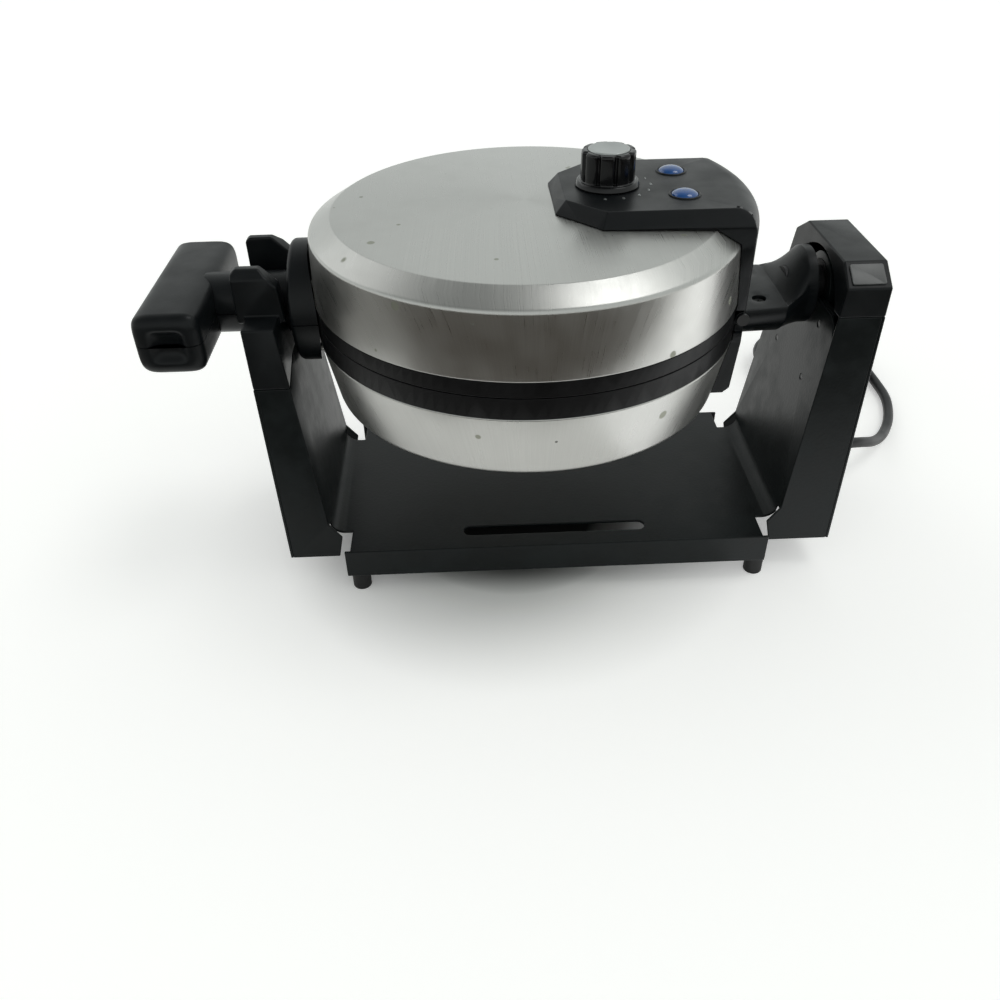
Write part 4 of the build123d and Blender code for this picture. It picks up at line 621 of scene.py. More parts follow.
@dataclass(frozen=True)
class Brushed(Finish):
    """Brushed stainless steel with handling marks, dried water spots and a few dark specks."""

    fold_height: float = 0.186
    spot_share: float = 0.14
    speck_share: float = 0.04

    def build(self) -> bpy.types.Material:
        """The finished material."""
        material, graph, shader, where = self.start()
        shader.inputs["Anisotropic"].default_value = 0.5
        tangent = graph.add("ShaderNodeTangent", direction_type="RADIAL", axis="Z")
        graph.link(tangent.outputs[0], shader.inputs["Tangent"])
        lines = self.use(graph, EFFECTS.brushing, where, Fold_Height=self.fold_height)
        marks = self.use(graph, EFFECTS.smudges, where, Amount=0.8)
        spots = self.use(graph, EFFECTS.spots, where, Scale=95.0, Share=self.spot_share, Size=0.26)
        specks = self.use(graph, EFFECTS.spots, where, Scale=140.0, Share=self.speck_share, Size=0.14)
        dark = tuple(part * 0.955 for part in self.colour)
        light = tuple(min(1.0, part * 1.04) for part in self.colour)
        brushed = graph.blend(lines.outputs["Tone"], dark, light)
        stain = tuple(part * tint for part, tint in zip(self.colour, (0.60, 0.62, 0.52)))
        stained = graph.blend(graph.math("MULTIPLY", spots.outputs["Mask"], 0.8), brushed, stain)
        specked = graph.math("MULTIPLY", specks.outputs["Mask"], 0.8)
        speckled = graph.blend(specked, stained, (0.05, 0.05, 0.045))
        graph.link(speckled, shader.inputs["Base Color"])
        worn = graph.math("MULTIPLY", marks.outputs["Mask"], 0.06)
        dull = graph.math("MULTIPLY", spots.outputs["Mask"], 0.2)
        streak = graph.stretch(lines.outputs["Tone"], 0.0, 1.0, self.roughness - 0.04, self.roughness + 0.04)
        graph.link(graph.math("ADD", graph.math("ADD", streak, worn), dull), shader.inputs["Roughness"])
        self.bump(graph, shader, lines.outputs["Height"], 0.004, 0.35)
        return material


@dataclass(frozen=True)
class Coated(Finish):
    """Sprayed powder coat or non-stick coat over sheet or casting: orange peel and a fine grain."""

    peel: float = 0.03
    peel_scale: float = 700.0

    def build(self) -> bpy.types.Material:
        """The finished material."""
        material, graph, shader, where = self.start()
        peel = self.use(graph, EFFECTS.grain, where, Scale=self.peel_scale)
        marks = self.use(graph, EFFECTS.smudges, where, Amount=0.8)
        pale = tuple(part * 1.6 + 0.001 for part in self.colour)
        graph.link(graph.blend(marks.outputs["Mask"], self.colour, pale), shader.inputs["Base Color"])
        rough = graph.math("ADD", self.roughness, graph.math("MULTIPLY", marks.outputs["Mask"], 0.12))
        graph.link(rough, shader.inputs["Roughness"])
        self.bump(graph, shader, peel.outputs["Height"], self.peel)
        return material


@dataclass(frozen=True)
class BareMetal(Finish):
    """Plated, rolled or ground metal with faint stains."""

    stain: float = 0.7

    def build(self) -> bpy.types.Material:
        """The finished material."""
        material, graph, shader, where = self.start()
        grain = self.use(graph, EFFECTS.grain, where, Scale=1500.0)
        marks = self.use(graph, EFFECTS.smudges, where, Amount=1.0)
        stained = tuple(part * self.stain for part in self.colour)
        graph.link(graph.blend(marks.outputs["Mask"], self.colour, stained), shader.inputs["Base Color"])
        rough = graph.stretch(grain.outputs["Mask"], 0.3, 0.7, self.roughness - 0.08, self.roughness + 0.08)
        graph.link(rough, shader.inputs["Roughness"])
        self.bump(graph, shader, grain.outputs["Height"], 0.008)
        return material


@dataclass(frozen=True)
class Lens(Finish):
    """Tinted clear plastic or bulb glass over a faint cast pattern."""

    clear: float = 0.5

    def build(self) -> bpy.types.Material:
        """The finished material."""
        material, graph, shader, where = self.start()
        shader.inputs["Transmission Weight"].default_value = self.clear
        shader.inputs["IOR"].default_value = 1.49
        shader.inputs["Coat Weight"].default_value = 0.6
        cast = graph.noise(where, 500.0, 2.0)
        deep = tuple(part * 0.55 for part in self.colour)
        graph.link(graph.blend(cast, deep, self.colour), shader.inputs["Base Color"])
        self.bump(graph, shader, cast, 0.06)
        return material


BLACK = (0.0035, 0.0045, 0.0052)

FINISH_LIST: tuple[Finish, ...] = (
    Brushed("brushed_steel", (0.50, 0.50, 0.48), 0.30, 1.0),
    Moulded("rim_black", (0.0022, 0.0022, 0.0026), 0.40, sheen=0.2),
    Coated("cast_coated", (0.045, 0.045, 0.048), 0.42, 0.2, peel=0.03, peel_scale=1500.0),
    BareMetal("heater_steel", (0.30, 0.28, 0.26), 0.5, 0.9),
    BareMetal("reflector_aluminium", (0.72, 0.72, 0.72), 0.38, 1.0),
    BareMetal("zinc_steel", (0.58, 0.58, 0.56), 0.34, 1.0),
    BareMetal("black_screw", (0.06, 0.06, 0.06), 0.4, 0.8),
    Moulded("black_plastic", BLACK, 0.36, sheen=0.2),
    Moulded("grey_plastic", (0.085, 0.087, 0.086), 0.36),
    Moulded("black_gloss", (0.002, 0.002, 0.0025), 0.16, sheen=0.3, grain=0.004, coat=0.15),
    BareMetal("satin_grey", (0.42, 0.44, 0.43), 0.36, 0.85, stain=0.92),
    Moulded("ceramic_white", (0.78, 0.75, 0.68), 0.62, paler=0.9),
    BareMetal("spring_brass", (0.70, 0.50, 0.22), 0.3, 1.0),
    Lens("lamp_blue", (0.002, 0.085, 0.33), 0.10, clear=0.0),
    Lens("lamp_glass", (0.85, 0.72, 0.55), 0.08, clear=0.85),
    BareMetal("pin_steel", (0.035, 0.035, 0.036), 0.42, 0.8),
    Moulded("bush_plastic", (0.004, 0.004, 0.004), 0.5, sheen=0.15),
    Coated("stand_paint", (0.0025, 0.0042, 0.0044), 0.32, sheen=0.21),
    Moulded("foot_rubber", (0.009, 0.009, 0.009), 0.62, sheen=0.3, grain=0.04),
    Moulded("cord_jacket", (0.007, 0.007, 0.008), 0.45, sheen=0.4, grain=0.015),
    Moulded("lead_sleeve", (0.72, 0.70, 0.62), 0.8, grain=0.1, grain_scale=1500.0),
    Moulded("tie_plastic", (0.03, 0.03, 0.03), 0.5),
    Moulded("plug_plastic", (0.018, 0.018, 0.019), 0.42),
    BareMetal("blade_brass", (0.74, 0.60, 0.32), 0.28, 1.0),
)

FINISHES = {finish.name: finish for finish in FINISH_LIST}

NODE_SLOTS = {entry["node"]: entry["material_slot"] for entry in frame["record"]["subparts"]}


class Palette:
    """Builds each finish once and gives it to pieces."""

    def __init__(self) -> None:
        """Starts with no materials."""
        self.made: dict[str, bpy.types.Material] = {}

    def dress(self, piece: bpy.types.Object, slot: str) -> bpy.types.Object:
        """Gives a piece the finish of a slot.

        Args:
            piece: the object.
            slot: the record's slot.

        Returns:
            The piece.
        """
        if slot not in self.made:
            self.made[slot] = FINISHES[slot].build()
        piece.data.materials.clear()
        piece.data.materials.append(self.made[slot])
        return piece

    def dress_frame(self) -> None:
        """Gives every CAD node its finish."""
        for name, node in frame["nodes"].items():
            self.dress(node, NODE_SLOTS[name])

    def finish(self, piece: bpy.types.Object, slot: str, body: str, *nodes: str) -> bpy.types.Object:
        """Dresses a new piece, sets it on its body and lets it stand for CAD nodes.

        Args:
            piece: the new object.
            slot: the record's slot.
            body: the body it rides on.
            *nodes: the nodes it replaces.

        Returns:
            The piece.
        """
        self.dress(piece, slot)
        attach(piece, body)
        if nodes:
            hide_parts(*nodes)
        LOG.info("%s rides on %s", piece.name, body)
        return piece


# Sub-assemblies


class Half(Enum):
    """The two halves of the turning body."""

    UPPER = 1
    LOWER = -1

    def keep(self, z: np.ndarray, gap: float) -> np.ndarray:
        """Holds heights on this half's side of the parting plane.

        Args:
            z: the heights.
            gap: how far from the plane they stay.

        Returns:
            The held heights.
        """
        return np.maximum(z, gap) if self is Half.UPPER else np.minimum(z, -gap)


@dataclass
class Shells:
    """The two brushed steel shells, drawn and turned with rounded shoulders and rolled lips."""

    palette: Palette
    wall: float = 1.0
    dome: float = 2.0
    crease: tuple[float, float] = (92.5, 45.2)
    shoulder: tuple[float, float] = (103.5, 38.6)
    edge: tuple[float, float] = (105.0, 7.6)
    lip: float = 99.0
    base_edge: tuple[float, float] = (104.8, -10.35)
    base_floor: tuple[float, float] = (98.1, -43.6)

    def lid(self) -> None:
        """Makes the lid: a shallow dome, a sloped shoulder and a straight side.

        The dome's height is crease height + dome (1 - (r / crease radius)^2). The crease's corner lies
        on the dome's tangent from its last point.
        """
        radius = np.linspace(0, self.crease[0] - 5, 24)
        top = self.crease[1] + self.dome * (1 - (radius / self.crease[0]) ** 2)
        dome = np.stack([radius, top], axis=-1)
        fall = 2 * self.dome / self.crease[0]
        crease_z = dome[-1, 1] - fall * (self.crease[0] - dome[-1, 0])
        lip = (self.lip, self.edge[1])
        corners = np.array([dome[-1], (self.crease[0], crease_z), self.shoulder, self.edge, lip])
        outer = np.concatenate([dome[:-1], rounded_line(corners, [1.8, 2.8, 0.7])])
        inner = outer[::-1].copy()
        inner[:, 0] = np.maximum(inner[:, 0] - self.wall * (inner[:, 1] < self.shoulder[1]), 0)
        low = self.edge[1] + self.wall
        lowered = inner[:, 1] - self.wall * (inner[:, 1] > self.shoulder[1])
        inner[:, 1] = np.where(inner[:, 1] < low, low, lowered)
        profile = np.concatenate([outer, inner])
        piece = surface("lid_skin", [turned(profile, 192)])
        self.palette.finish(piece, "brushed_steel", "lid", "lid_shell")

    def base(self) -> None:
        """Makes the lower shell: a tapering side and a flat floor joined by a rounded corner."""
        corners = [(self.lip, self.base_edge[1]), self.base_edge, self.base_floor, (0, self.base_floor[1])]
        outer = rounded_line(np.array(corners), [0.7, 4.0])
        inner_corners = [
            (0, self.base_floor[1] + self.wall),
            (self.base_floor[0] - self.wall, self.base_floor[1] + self.wall),
            (self.base_edge[0] - self.wall, self.base_edge[1] - self.wall),
            (self.lip, self.base_edge[1] - self.wall),
        ]
        inner = rounded_line(np.array(inner_corners), [3.0, 0.4])
        profile = np.concatenate([outer, inner, outer[:1]])
        piece = surface("base_skin", [turned(profile, 192)])
        self.palette.finish(piece, "brushed_steel", "lower_half", "lower_shell")

    def build(self) -> None:
        """Makes both shells."""
        self.lid()
        self.base()


@dataclass
class Handle:
    """The T handle's two halves: cross grip, round neck and round plate against the body."""

    palette: Palette
    gap: float = 0.2
    end_x: float = -184.0
    in_x: float = -152.5
    half_y: float = 48.0
    half_z: float = 14.9
    squareness: float = 5.0
    end_round: float = 5.5
    scoop_depth: float = 3.4
    scoop_share: float = 0.92
    neck: float = 14.85
    rose: float = 30.0
    rose_face: float = -114.5
    body_radius: float = 105.25

    def grip(self, half: Half) -> Patch:
        """One half of the cross grip.

        Its section is a superellipse |x|^n + |z|^n = 1, carried along Y. Near each end the section shrinks
        by a quarter circle, and the end face is a shallow scoop, deep (1 - (rho / share)^4)^2.

        Args:
            half: which half to keep, by holding z at the parting plane.

        Returns:
            The closed surface.
        """
        around = full_turn(96)
        wide, tall = squared(around, 2 / self.squareness)
        corner = np.linspace(0, np.pi / 2, 9)
        inset = self.end_round * (1 - np.sin(corner))
        along = -self.half_y + self.end_round * (1 - np.cos(corner))
        rho = np.linspace(0, 1, 12)[:-1]
        flat = 1 - self.end_round / self.half_z
        scoop = self.scoop_depth * (1 - np.clip(rho / self.scoop_share, 0, 1) ** 4) ** 2
        end_scale = rho * flat
        half_x = (self.in_x - self.end_x) / 2
        scales = np.concatenate([end_scale, 1 - inset / self.half_z])
        lengths = np.concatenate([-self.half_y + scoop, along])
        scales = np.concatenate([scales, scales[::-1]])[:, None]
        lengths = np.concatenate([lengths, -lengths[::-1]])[:, None]
        x = (self.end_x + self.in_x) / 2 + half_x * wide * scales
        z = self.half_z * tall * scales
        y = np.broadcast_to(lengths, x.shape)
        return Patch(np.stack([x, y, half.keep(z, self.gap)], axis=-1))

    def stem(self, half: Half) -> Patch:
        """One half of the neck and the round plate, turned about the flip axis.

        A profile point (x, r) goes to (x, r cos a, r sin a). The plate's back follows the body:
        x is held outside -sqrt(R^2 - y^2).

        Args:
            half: which half to keep.

        Returns:
            The closed surface.
        """
        corners = np.array([
            (self.in_x - 6, 0.0), (self.in_x - 6, self.neck), (self.rose_face, self.neck),
            (self.rose_face, self.rose), (-60.0, self.rose), (-60.0, 0.0),
        ])
        profile = rounded_line(corners, [0.5, 1.6, 2.6, 0.5])
        profile = finer(profile, len(profile) - 8, 12)
        angle = full_turn(96)
        y = profile[:, 1:] * np.cos(angle)
        z = profile[:, 1:] * np.sin(angle)
        skin = -np.sqrt(self.body_radius**2 - y**2)
        x = np.minimum(np.broadcast_to(profile[:, :1], y.shape), skin)
        return Patch(np.stack([x, y, half.keep(z, self.gap)], axis=-1))

    def build(self) -> None:
        """Makes both halves."""
        for half, body in ((Half.UPPER, "lid"), (Half.LOWER, "lower_half")):
            word = half.name.lower()
            piece = surface(f"{word}_grip", [self.grip(half)], 50)
            self.palette.finish(piece, "black_plastic", body, f"{word}_handle")
            piece = surface(f"{word}_neck", [self.stem(half)], 50)
            self.palette.finish(piece, "black_plastic", body, f"{word}_handle")


@dataclass
class Knob:
    """The thermostat's fluted knob with its skirt and grey disc, and the dial's marks."""

    palette: Palette
    x: float = 39.0
    low_z: float = 53.5
    skirt: float = 15.5
    skirt_rise: float = 2.4
    radius: float = 12.75
    height: float = 13.6
    flutes: int = 9
    flute_depth: float = 1.7
    disc: float = 9.8
    number_radius: float = 20.5
    number_size: float = 3.2
    number_angles: tuple[float, ...] = (20.0, -4.0, -28.0, -52.0, -76.0, -100.0)

    def fluted(self) -> Patch:
        """The knob's grip: radius r(a) = R - d max(0, cos(n a))^3, with a rounded top and a disc seat."""
        corners = [
            (0, 0), (self.skirt, 0), (self.skirt - 1.2, self.skirt_rise),
            (self.radius, self.skirt_rise), (self.radius, self.skirt_rise + self.height),
            (self.disc + 0.25, self.skirt_rise + self.height),
            (self.disc + 0.25, self.skirt_rise + self.height - 0.8), (0, self.skirt_rise + self.height - 0.8),
        ]
        profile = rounded_line(np.array(corners, float), [0.4, 0.8, 0.6, 1.2, 0.2, 0.1])
        wall = next(i for i in range(1, len(profile)) if profile[i, 1] - profile[i - 1, 1] > 5)
        profile = finer(profile, wall, 10)
        angle = full_turn(216)
        r = np.broadcast_to(profile[:, :1], (len(profile), len(angle)))
        z = np.broadcast_to(profile[:, 1:], r.shape)
        on_grip = (r > self.disc + 0.3) & (z > self.skirt_rise + 0.4)
        depth = self.flute_depth * np.maximum(0, np.cos(self.flutes * angle)) ** 3
        r = np.where(on_grip, r - depth * np.clip((r - self.disc - 0.25) / 2, 0, 1), r)
        return Patch(np.stack([self.x + r * np.cos(angle), r * np.sin(angle), self.low_z + z], axis=-1))

    def cap(self) -> Patch:
        """The grey disc: a plate with a rounded edge and a dish (r / R)^2 deep."""
        top = self.low_z + self.skirt_rise + self.height
        radius = np.linspace(0, self.disc - 0.9, 10)
        dish = top + 0.35 + 0.25 * (radius / self.disc) ** 2
        edge = rounded_line(np.array([
            (self.disc - 0.9, dish[-1]), (self.disc, dish[-1]), (self.disc, top - 0.79), (0, top - 0.79),
        ]), [0.5, 0.1])
        profile = np.concatenate([np.stack([radius, dish], axis=-1), edge[1:]])
        return turned(profile, 96, (self.x, 0.0))

    def marks(self) -> bpy.types.Object:
        """Plain numbers round the dial, printed on the panel's top."""
        work = bmesh.new()
        for count, turn in enumerate(self.number_angles):
            text = bpy.data.curves.new(f"digit_{count}", "FONT")
            text.body = str(count + 1)
            text.size = self.number_size * MM
            text.align_x, text.align_y = "CENTER", "CENTER"
            text.extrude = 0.05 * MM
            holder = linked(f"digit_{count}", text)
            bpy.context.view_layer.update()
            shown = holder.evaluated_get(bpy.context.evaluated_depsgraph_get())
            mesh = bpy.data.meshes.new_from_object(shown)
            along = self.number_radius * np.cos(radians(turn))
            beside = self.number_radius * np.sin(radians(turn))
            spot = place(np.array([self.x + along, beside, self.low_z - 0.25]))
            mesh.transform(Matrix.Translation(Vector(spot)))
            work.from_mesh(mesh)
            bpy.data.meshes.remove(mesh)
            bpy.data.objects.remove(holder)
            bpy.data.curves.remove(text)
        mesh = bpy.data.meshes.new("dial_numbers")
        bmesh.ops.remove_doubles(work, verts=work.verts, dist=1e-7)
        work.to_mesh(mesh)
        work.free()
        return linked("dial_numbers", mesh)

    def build(self) -> None:
        """Makes the knob, its disc and the dial's numbers."""
        self.palette.finish(surface("knob_grip", [self.fluted()]), "black_gloss", "knob", "thermostat_knob")
        self.palette.finish(surface("knob_face", [self.cap()]), "satin_grey", "knob", "knob_disc")
        self.palette.finish(self.marks(), "satin_grey", "lid")


@dataclass
class Lamps:
    """The two blue domed lamp lenses, each in a thin black ring."""

    palette: Palette
    spots: tuple[tuple[float, float], ...] = ((72.5, 17.0), (72.5, -17.0))
    radius: float = 6.2
    low_z: float = 50.7
    panel_z: float = 53.2
    rise: float = 2.5

    def lens(self, spot: tuple[float, float]) -> Patch:
        """A domed lens: (R sin a, panel + rise (cos a)^1.2), closed by a flat back."""
        ring = np.linspace(0, np.pi / 2, 16)
        dome = self.panel_z + self.rise * np.cos(ring) ** 1.2
        profile = np.stack([self.radius * np.sin(ring), dome], axis=-1)
        profile = np.concatenate([profile, [(self.radius, self.low_z), (0, self.low_z)]])
        return turned(profile, 48, spot)

    def collar(self, spot: tuple[float, float]) -> Patch:
        """A thin raised ring of half-round section round a lens."""
        turn = np.linspace(0, np.pi, 9)
        out = self.radius + 0.75 - 0.7 * np.cos(turn)
        profile = np.stack([out, self.panel_z - 0.1 + 0.7 * np.sin(turn)], axis=-1)
        profile = np.concatenate([profile, profile[:1]])
        return turned(profile, 48, spot)

    def build(self) -> None:
        """Makes the lenses and their collars."""
        lenses = surface("lamp_domes", [self.lens(spot) for spot in self.spots], 60)
        self.palette.finish(lenses, "lamp_blue", "lid", "lamp_lenses")
        collars = surface("lamp_collars", [self.collar(spot) for spot in self.spots], 60)
        self.palette.finish(collars, "black_plastic", "lid")


@dataclass
class RoundedNodes:
    """CAD nodes whose shape is right and only lacks its small edge roundings."""

    palette: Palette
    widths: dict[str, float] = field(default_factory=lambda: {
        "stand_frame": 0.5, "left_arm_cover": 0.5, "right_arm_cover": 0.5, "left_cradle_cap": 1.0,
        "right_pivot_cap": 0.8, "cap_insert": 0.15, "control_panel": 0.4, "lower_hinge_cover": 0.4,
        "gooseneck": 0.25, "upper_rim": 0.35, "lower_rim": 0.35, "bearing_block": 0.4, "pivot_strap": 0.25,
        "upper_waffle_plate": 0.4, "lower_waffle_plate": 0.4, "strain_relief": 0.3,
    })

    def build(self) -> None:
        """Makes every rounded copy."""
        for node, width in self.widths.items():
            piece = softened(node, width)
            self.palette.dress(piece, NODE_SLOTS[node])
            LOG.info("%s stands for %s", piece.name, node)


@dataclass
class PowerCord:
    """The mains cord: out of the right arm, down to the table and into a tied coil behind the arm."""

    palette: Palette
    diameter: float = 6.5
    table_z: float = -144.0
    floor_z: float = -140.75
    coil_low_z: float = -139.25
    layer: float = 7.2
    coil_x: float = 224.0
    coil_y: float = 162.0
    crossings: tuple[float, ...] = (38.5, -34.5, 30.0, -29.0, 35.0, -39.5)
    points_a_half_turn: int = 8
    plug_y: float = 120.0
    plug_size: tuple[float, float, float] = (24.0, 30.0, 16.0)
    tail_wide: float = 1.25
    tie_x: float = 224.5
    tie_y: float = 130.15
    tie_gap: float = 0.55
    tie_wall: float = 0.9
    tie_width: float = 7.0
    length: float = 0.79

    def lead_in(self) -> np.ndarray:
        """The route from the strain relief to the coil, as chosen."""
        return np.array([
            (189.0, 24.0, -117.0), (195.0, 24.0, -117.0), (211.0, 30.0, -120.5), (227.0, 45.0, -131.0),
            (242.0, 64.0, -138.8), (255.0, 86.0, self.floor_z), (263.5, 112.0, self.floor_z),
            (264.0, 134.0, self.floor_z), (262.5, 148.0, self.coil_low_z), (262.5, 155.5, self.coil_low_z),
        ])

    def coil(self) -> np.ndarray:
        """The coil's half turns.

        Each is a half circle between two crossings of the coil's own X line, its points pushed out by
        1 / cos(half a step), because the spline passes inside them. The middle half turn climbs a layer.
        """
        turns: list[np.ndarray] = []
        step = np.pi / self.points_a_half_turn
        for count, (start, end) in enumerate(zip(self.crossings, self.crossings[1:])):
            angle = (np.arange(self.points_a_half_turn) + 0.5) * step
            middle, reach = (start + end) / 2, (start - end) / 2 / np.cos(step / 2)
            side = 1 if count % 2 == 0 else -1
            low = self.coil_low_z + (0.0 if count < 3 else self.layer)
            climb = self.layer * (1 - np.cos(angle)) / 2 if count == 2 else np.zeros_like(angle)
            turns.append(np.stack([
                self.coil_x + middle + reach * np.cos(angle),
                self.coil_y + side * abs(reach) * np.sin(angle),
                low + climb,
            ], axis=-1))
        return np.concatenate(turns)

    def lead_out(self) -> np.ndarray:
        """The last stretch, from the coil's top layer down into the plug."""
        x, top = self.coil_x + self.crossings[-1], self.coil_low_z + self.layer
        low = self.table_z + self.plug_size[2] / 2
        return np.array([(x, 155.5, top), (x, 146.0, top), (x, 134.0, low), (x, 124.0, low), (x, 121.0, low)])

    def cord(self) -> bpy.types.Object:
        """The cord as one smooth spline with a round section."""
        route = place(np.concatenate([self.lead_in(), self.coil(), self.lead_out()]))
        curve = bpy.data.curves.new("mains_cord", "CURVE")
        curve.dimensions = "3D"
        curve.bevel_depth = self.diameter / 2 * MM
        curve.bevel_resolution = 6
        curve.resolution_u = 8
        curve.use_fill_caps = True
        spline = curve.splines.new("NURBS")
        spline.points.add(len(route) - 1)
        spline.points.foreach_set("co", np.concatenate([route, np.ones((len(route), 1))], axis=1).ravel())
        spline.order_u = 3
        spline.use_endpoint_u = True
        return linked("mains_cord", curve)

    def plug(self) -> Patch:
        """The plug's body: a superellipse section carried along Y, narrowing to the cord in a ribbed tail."""
        stations = np.array([0.0, 0.6, 2.0, 14.0, 22.0, 27.0, 30.0, 31.0, 33.0, 34.0, 36.0, 37.0, 39.0, 40.0])
        scale = np.array([0.0, 0.9, 1.0, 1.0, 0.86, 0.66, 0.5, 0.46, 0.5, 0.43, 0.46, 0.4, 0.42, 0.0])
        angle = full_turn(64)
        power = (2 / np.where(stations < 24, 4.0, 2.0))[:, None]
        wide, tall = squared(angle, power)
        width, depth, height = self.plug_size
        in_tail = stations > self.plug_size[1] - 1
        tail = height / 2 * scale * self.tail_wide
        half_wide = np.where(in_tail, tail, np.maximum(width, height) / 2 * scale)[:, None]
        half_tall = np.where(in_tail, tail, height / 2 * scale)[:, None]
        x = self.coil_x + self.crossings[-1] + half_wide * wide
        y = np.broadcast_to((self.plug_y - depth + stations)[:, None], x.shape)
        z = self.table_z + height / 2 + half_tall * tall
        return Patch(np.stack([x, y, z], axis=-1))

    def tie(self) -> Patch:
        """The strap round the two stacked turns: a stadium-shaped band with a rounded section."""
        edge = full_turn(24)
        half = self.tie_wall / 2
        thick, broad = squared(edge, 0.4)
        out = self.diameter / 2 + self.tie_gap + half + half * thick
        across = self.tie_width / 2 * broad
        angle = full_turn(64)
        lift = np.where(np.sin(angle) > 0, self.layer, 0.0)
        x = self.tie_x + np.broadcast_to(across[:, None], (24, 64))
        y = self.tie_y + out[:, None] * np.cos(angle)
        z = self.coil_low_z + out[:, None] * np.sin(angle) + lift
        return Patch(np.stack([x, y, z], axis=-1), wrap_rows=True)

    def build(self) -> None:
        finish = self.palette.finish
        cord = finish(self.cord(), "cord_jacket", "stand", "power_cord", "cord_coil", "plug_lead")
        plug = finish(surface("plug_body", [self.plug()], 45), "plug_plastic", "stand", "mains_plug")
        tie = finish(surface("cord_strap", [self.tie()], 45), "tie_plastic", "stand", "cord_tie")


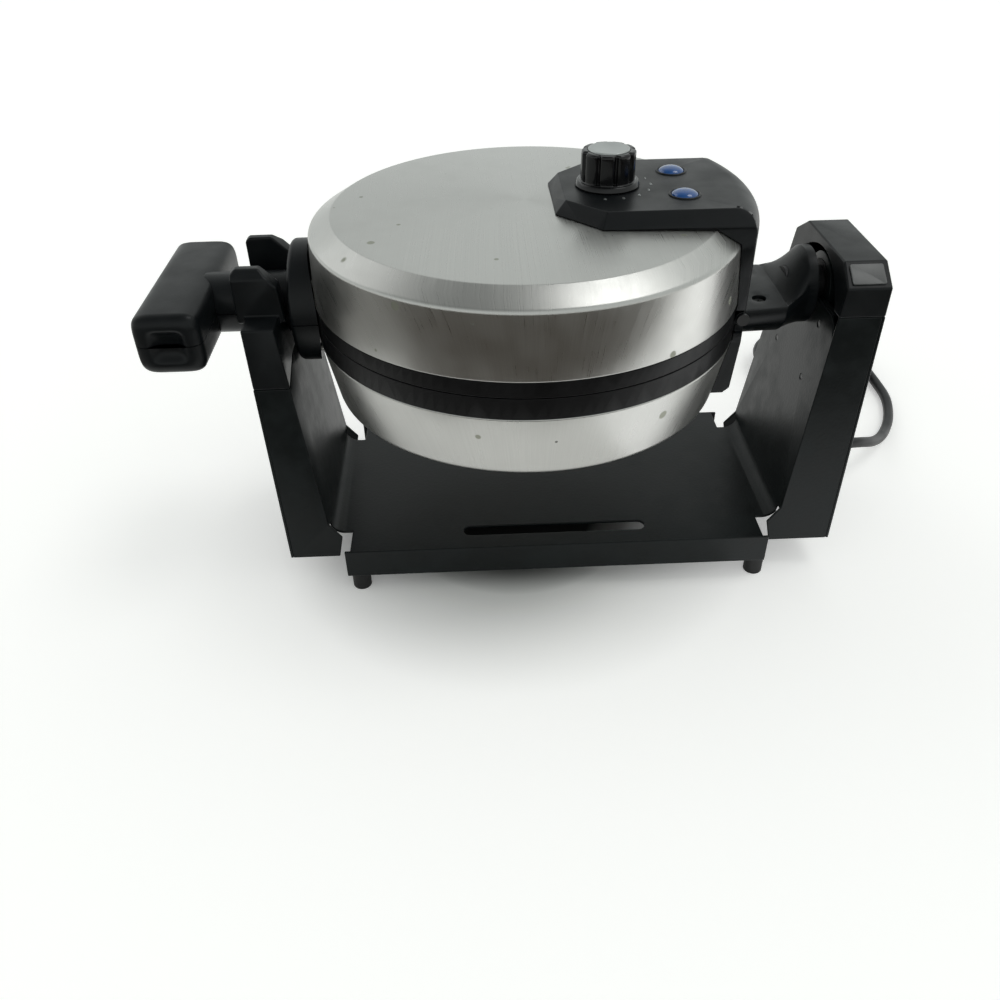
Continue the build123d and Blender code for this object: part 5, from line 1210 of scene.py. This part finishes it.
@dataclass
class Studio:
    """Pale floor, backdrop, two soft lamps, level cards of painted shade and highlight that only reflections
    show, and the camera.
    """

    focal: float = 32.4
    eye: tuple[float, float, float] = (-26.1, -426.2, 194.3)
    right: tuple[float, float, float] = (0.99909, -0.03936, -0.01676)
    up: tuple[float, float, float] = (0.03724, 0.60716, 0.79367)
    ahead: tuple[float, float, float] = (0.02106, 0.79362, -0.6081)
    floor_colour: tuple[float, float, float] = (0.93, 0.923, 0.90)
    floor_glow: float = 0.34
    reflected_shade_colour: tuple[float, float, float] = (0.105, 0.088, 0.075)
    reflected_grey_shade_colour: tuple[float, float, float] = (0.40, 0.385, 0.37)
    reflected_highlight_colour: tuple[float, float, float] = (0.85, 0.85, 0.85)
    dim_way: tuple[float, float, float] = (-0.33, -0.08, 0.94)

    def camera(self) -> None:
        """Sets the camera by its eye and its three directions."""
        data = bpy.data.cameras.new("camera")
        data.lens = self.focal
        data.sensor_width = 36.0
        data.clip_start = 0.01
        holder = linked("camera", data)
        turn = Matrix((self.right, self.up, tuple(-part for part in self.ahead))).transposed()
        holder.matrix_world = Matrix.Translation(Vector(place(np.array(self.eye)))) @ turn.to_4x4()
        bpy.context.scene.camera = holder

    @staticmethod
    def sheet_of(name: str, points: np.ndarray, colour: tuple, glow: float) -> bpy.types.Object:
        """A stage surface of one matt colour with a faint mottle.

        One with a glow has a painted shadow under the tray: its colour is painted dark near the origin,
        fading out over the painted shadow's ring, so that the tray's slot shows black, and its glow grows
        over GLOW_RING.

        Args:
            name: its name.
            points: its grid, in millimetres from the body's centre.
            colour: its colour.
            glow: its own light, for the rays that show a background; on a card it is a painted highlight in
                reflections.

        Returns:
            The new object.
        """
        piece = surface(name, [Patch(points, wrap_columns=False)])
        material, graph, shader, where = Finish(name, colour, roughness=0.8, sheen=0.0).start()
        dimmer = tuple(part * 0.99 for part in colour)
        mottled = graph.blend(graph.noise(where, 3.0), dimmer, colour)
        graph.link(mottled, shader.inputs["Base Color"])
        if glow:
            out = material.node_tree.nodes["Material Output"]
            rays = graph.add("ShaderNodeLightPath")
            either = graph.math("MAXIMUM", rays.outputs["Is Camera Ray"], rays.outputs["Is Transmission Ray"])
            either = graph.math("MAXIMUM", either, rays.outputs["Is Glossy Ray"])
            light = graph.add("ShaderNodeEmission")
            ring = graph.add("ShaderNodeVectorMath", operation="LENGTH")
            graph.link(where, ring.inputs[0])
            # painted shadow: the floor's colour turns dark under the tray, where shade falls
            painted_shadow_mask = graph.stretch(ring.outputs["Value"], *PAINTED_SHADOW_RING, 1.0, 0.0)
            graph.link(graph.blend(painted_shadow_mask, mottled, PAINTED_SHADOW_COLOUR), shader.inputs["Base Color"])
            grown = graph.stretch(ring.outputs["Value"], *GLOW_RING, 0.0, glow)
            graph.link(graph.math("MULTIPLY", either, grown), light.inputs["Strength"])
            both = graph.add("ShaderNodeAddShader")
            graph.link(shader.outputs[0], both.inputs[0])
            graph.link(light.outputs[0], both.inputs[1])
            graph.link(both.outputs[0], out.inputs["Surface"])
        piece.data.materials.append(material)
        return piece

    def card(self, name: str, corners: tuple[float, float, float, float], colour: tuple, glow: float) -> None:
        """A level card just over the table that only reflections show: painted shade if dark, a painted
        highlight if it glows.

        Args:
            name: its name.
            corners: its low x, high x, low y and high y, in millimetres.
            colour: its colour.
            glow: its own light, which paints a highlight into reflections.
        """
        x, y = np.meshgrid(corners[:2], corners[2:], indexing="ij")
        piece = self.sheet_of(name, np.stack([x, y, np.full_like(x, 1 - FLIP_Z / MM)], axis=-1), colour, glow)
        piece.visible_camera = False
        piece.visible_diffuse = False
        piece.visible_shadow = False
        piece.visible_transmission = False

    def floor(self) -> None:
        """The table, a wide level square, with dark cards of painted shade in front and at the left, and pale
        glowing cards of painted highlight at the right.
        """
        ground = -FLIP_Z / MM
        ends = np.linspace(-9000, 9000, 5)
        x, y = np.meshgrid(ends, ends, indexing="ij")
        level = np.stack([x, y, np.full_like(x, ground)], axis=-1)
        self.sheet_of("studio_floor", level, self.floor_colour, self.floor_glow)
        # painted shade in reflections: dark and grey cards that only the steel's reflections show
        self.card("front_card", (-1500, 900, -2200, -250), self.reflected_shade_colour, 0.0)
        self.card("left_card", (-1500, -330, -250, 160), self.reflected_grey_shade_colour, 0.0)
        self.card("grip_card", (-330, -140, -250, -175), self.reflected_shade_colour, 0.0)
        # painted highlights in reflections: pale glowing cards that only the steel's reflections show
        self.card("near_card", (112, 300, -235, -62), self.reflected_highlight_colour, 0.9)
        self.card("right_card", (300, 1100, -190, 300), self.reflected_highlight_colour, 1.3)

    def world(self) -> None:
        """A pale backdrop all round, dimmer straight up and a little to the front.

        Its level falls with the cosine between the direction and dim_way.
        """
        world = bpy.data.worlds.new("studio")
        world.use_nodes = True
        bpy.context.scene.world = world
        graph = Graph(world.node_tree)
        base = world.node_tree.nodes["Background"]
        base.inputs["Color"].default_value = (0.955, 1.0, 0.985, 1)
        toward = graph.add("ShaderNodeVectorMath", operation="DOT_PRODUCT")
        graph.link(graph.add("ShaderNodeTexCoord").outputs["Generated"], toward.inputs[0])
        toward.inputs[1].default_value = self.dim_way
        level = graph.stretch(toward.outputs["Value"], 0.60, 0.98, 0.80, 0.25)
        graph.link(level, base.inputs["Strength"])

    @staticmethod
    def sun(name: str, way: tuple[float, float, float], strength: float, angle: float) -> None:
        """A soft far lamp.

        Args:
            name: the lamp's name.
            way: the direction to it.
            strength: its strength.
            angle: its width in degrees.
        """
        data = bpy.data.lights.new(name, "SUN")
        data.energy = strength
        data.angle = radians(angle)
        holder = linked(name, data)
        holder.matrix_world = Vector(way).to_track_quat("Z", "Y").to_matrix().to_4x4()

    def build(self) -> None:
        """Makes the camera, the floor, the world and the lamps."""
        bpy.context.scene.view_settings.view_transform = "Standard"
        self.camera()
        self.floor()
        self.world()
        self.sun("window", (0.41, 0.06, 0.91), 0.38, 24)
        self.sun("fill", (-0.68, 0.45, 0.57), 0.22, 40)


def main() -> None:
    """Builds the studio and every sub-assembly in order."""
    logging.basicConfig(level=logging.INFO)
    palette = Palette()
    palette.dress_frame()
    Studio().build()
    PowerCord(palette).build()
    Shells(palette).build()
    RoundedNodes(palette).build()
    Handle(palette).build()
    Knob(palette).build()
    Lamps(palette).build()


if __name__ == "__main__":
    main()
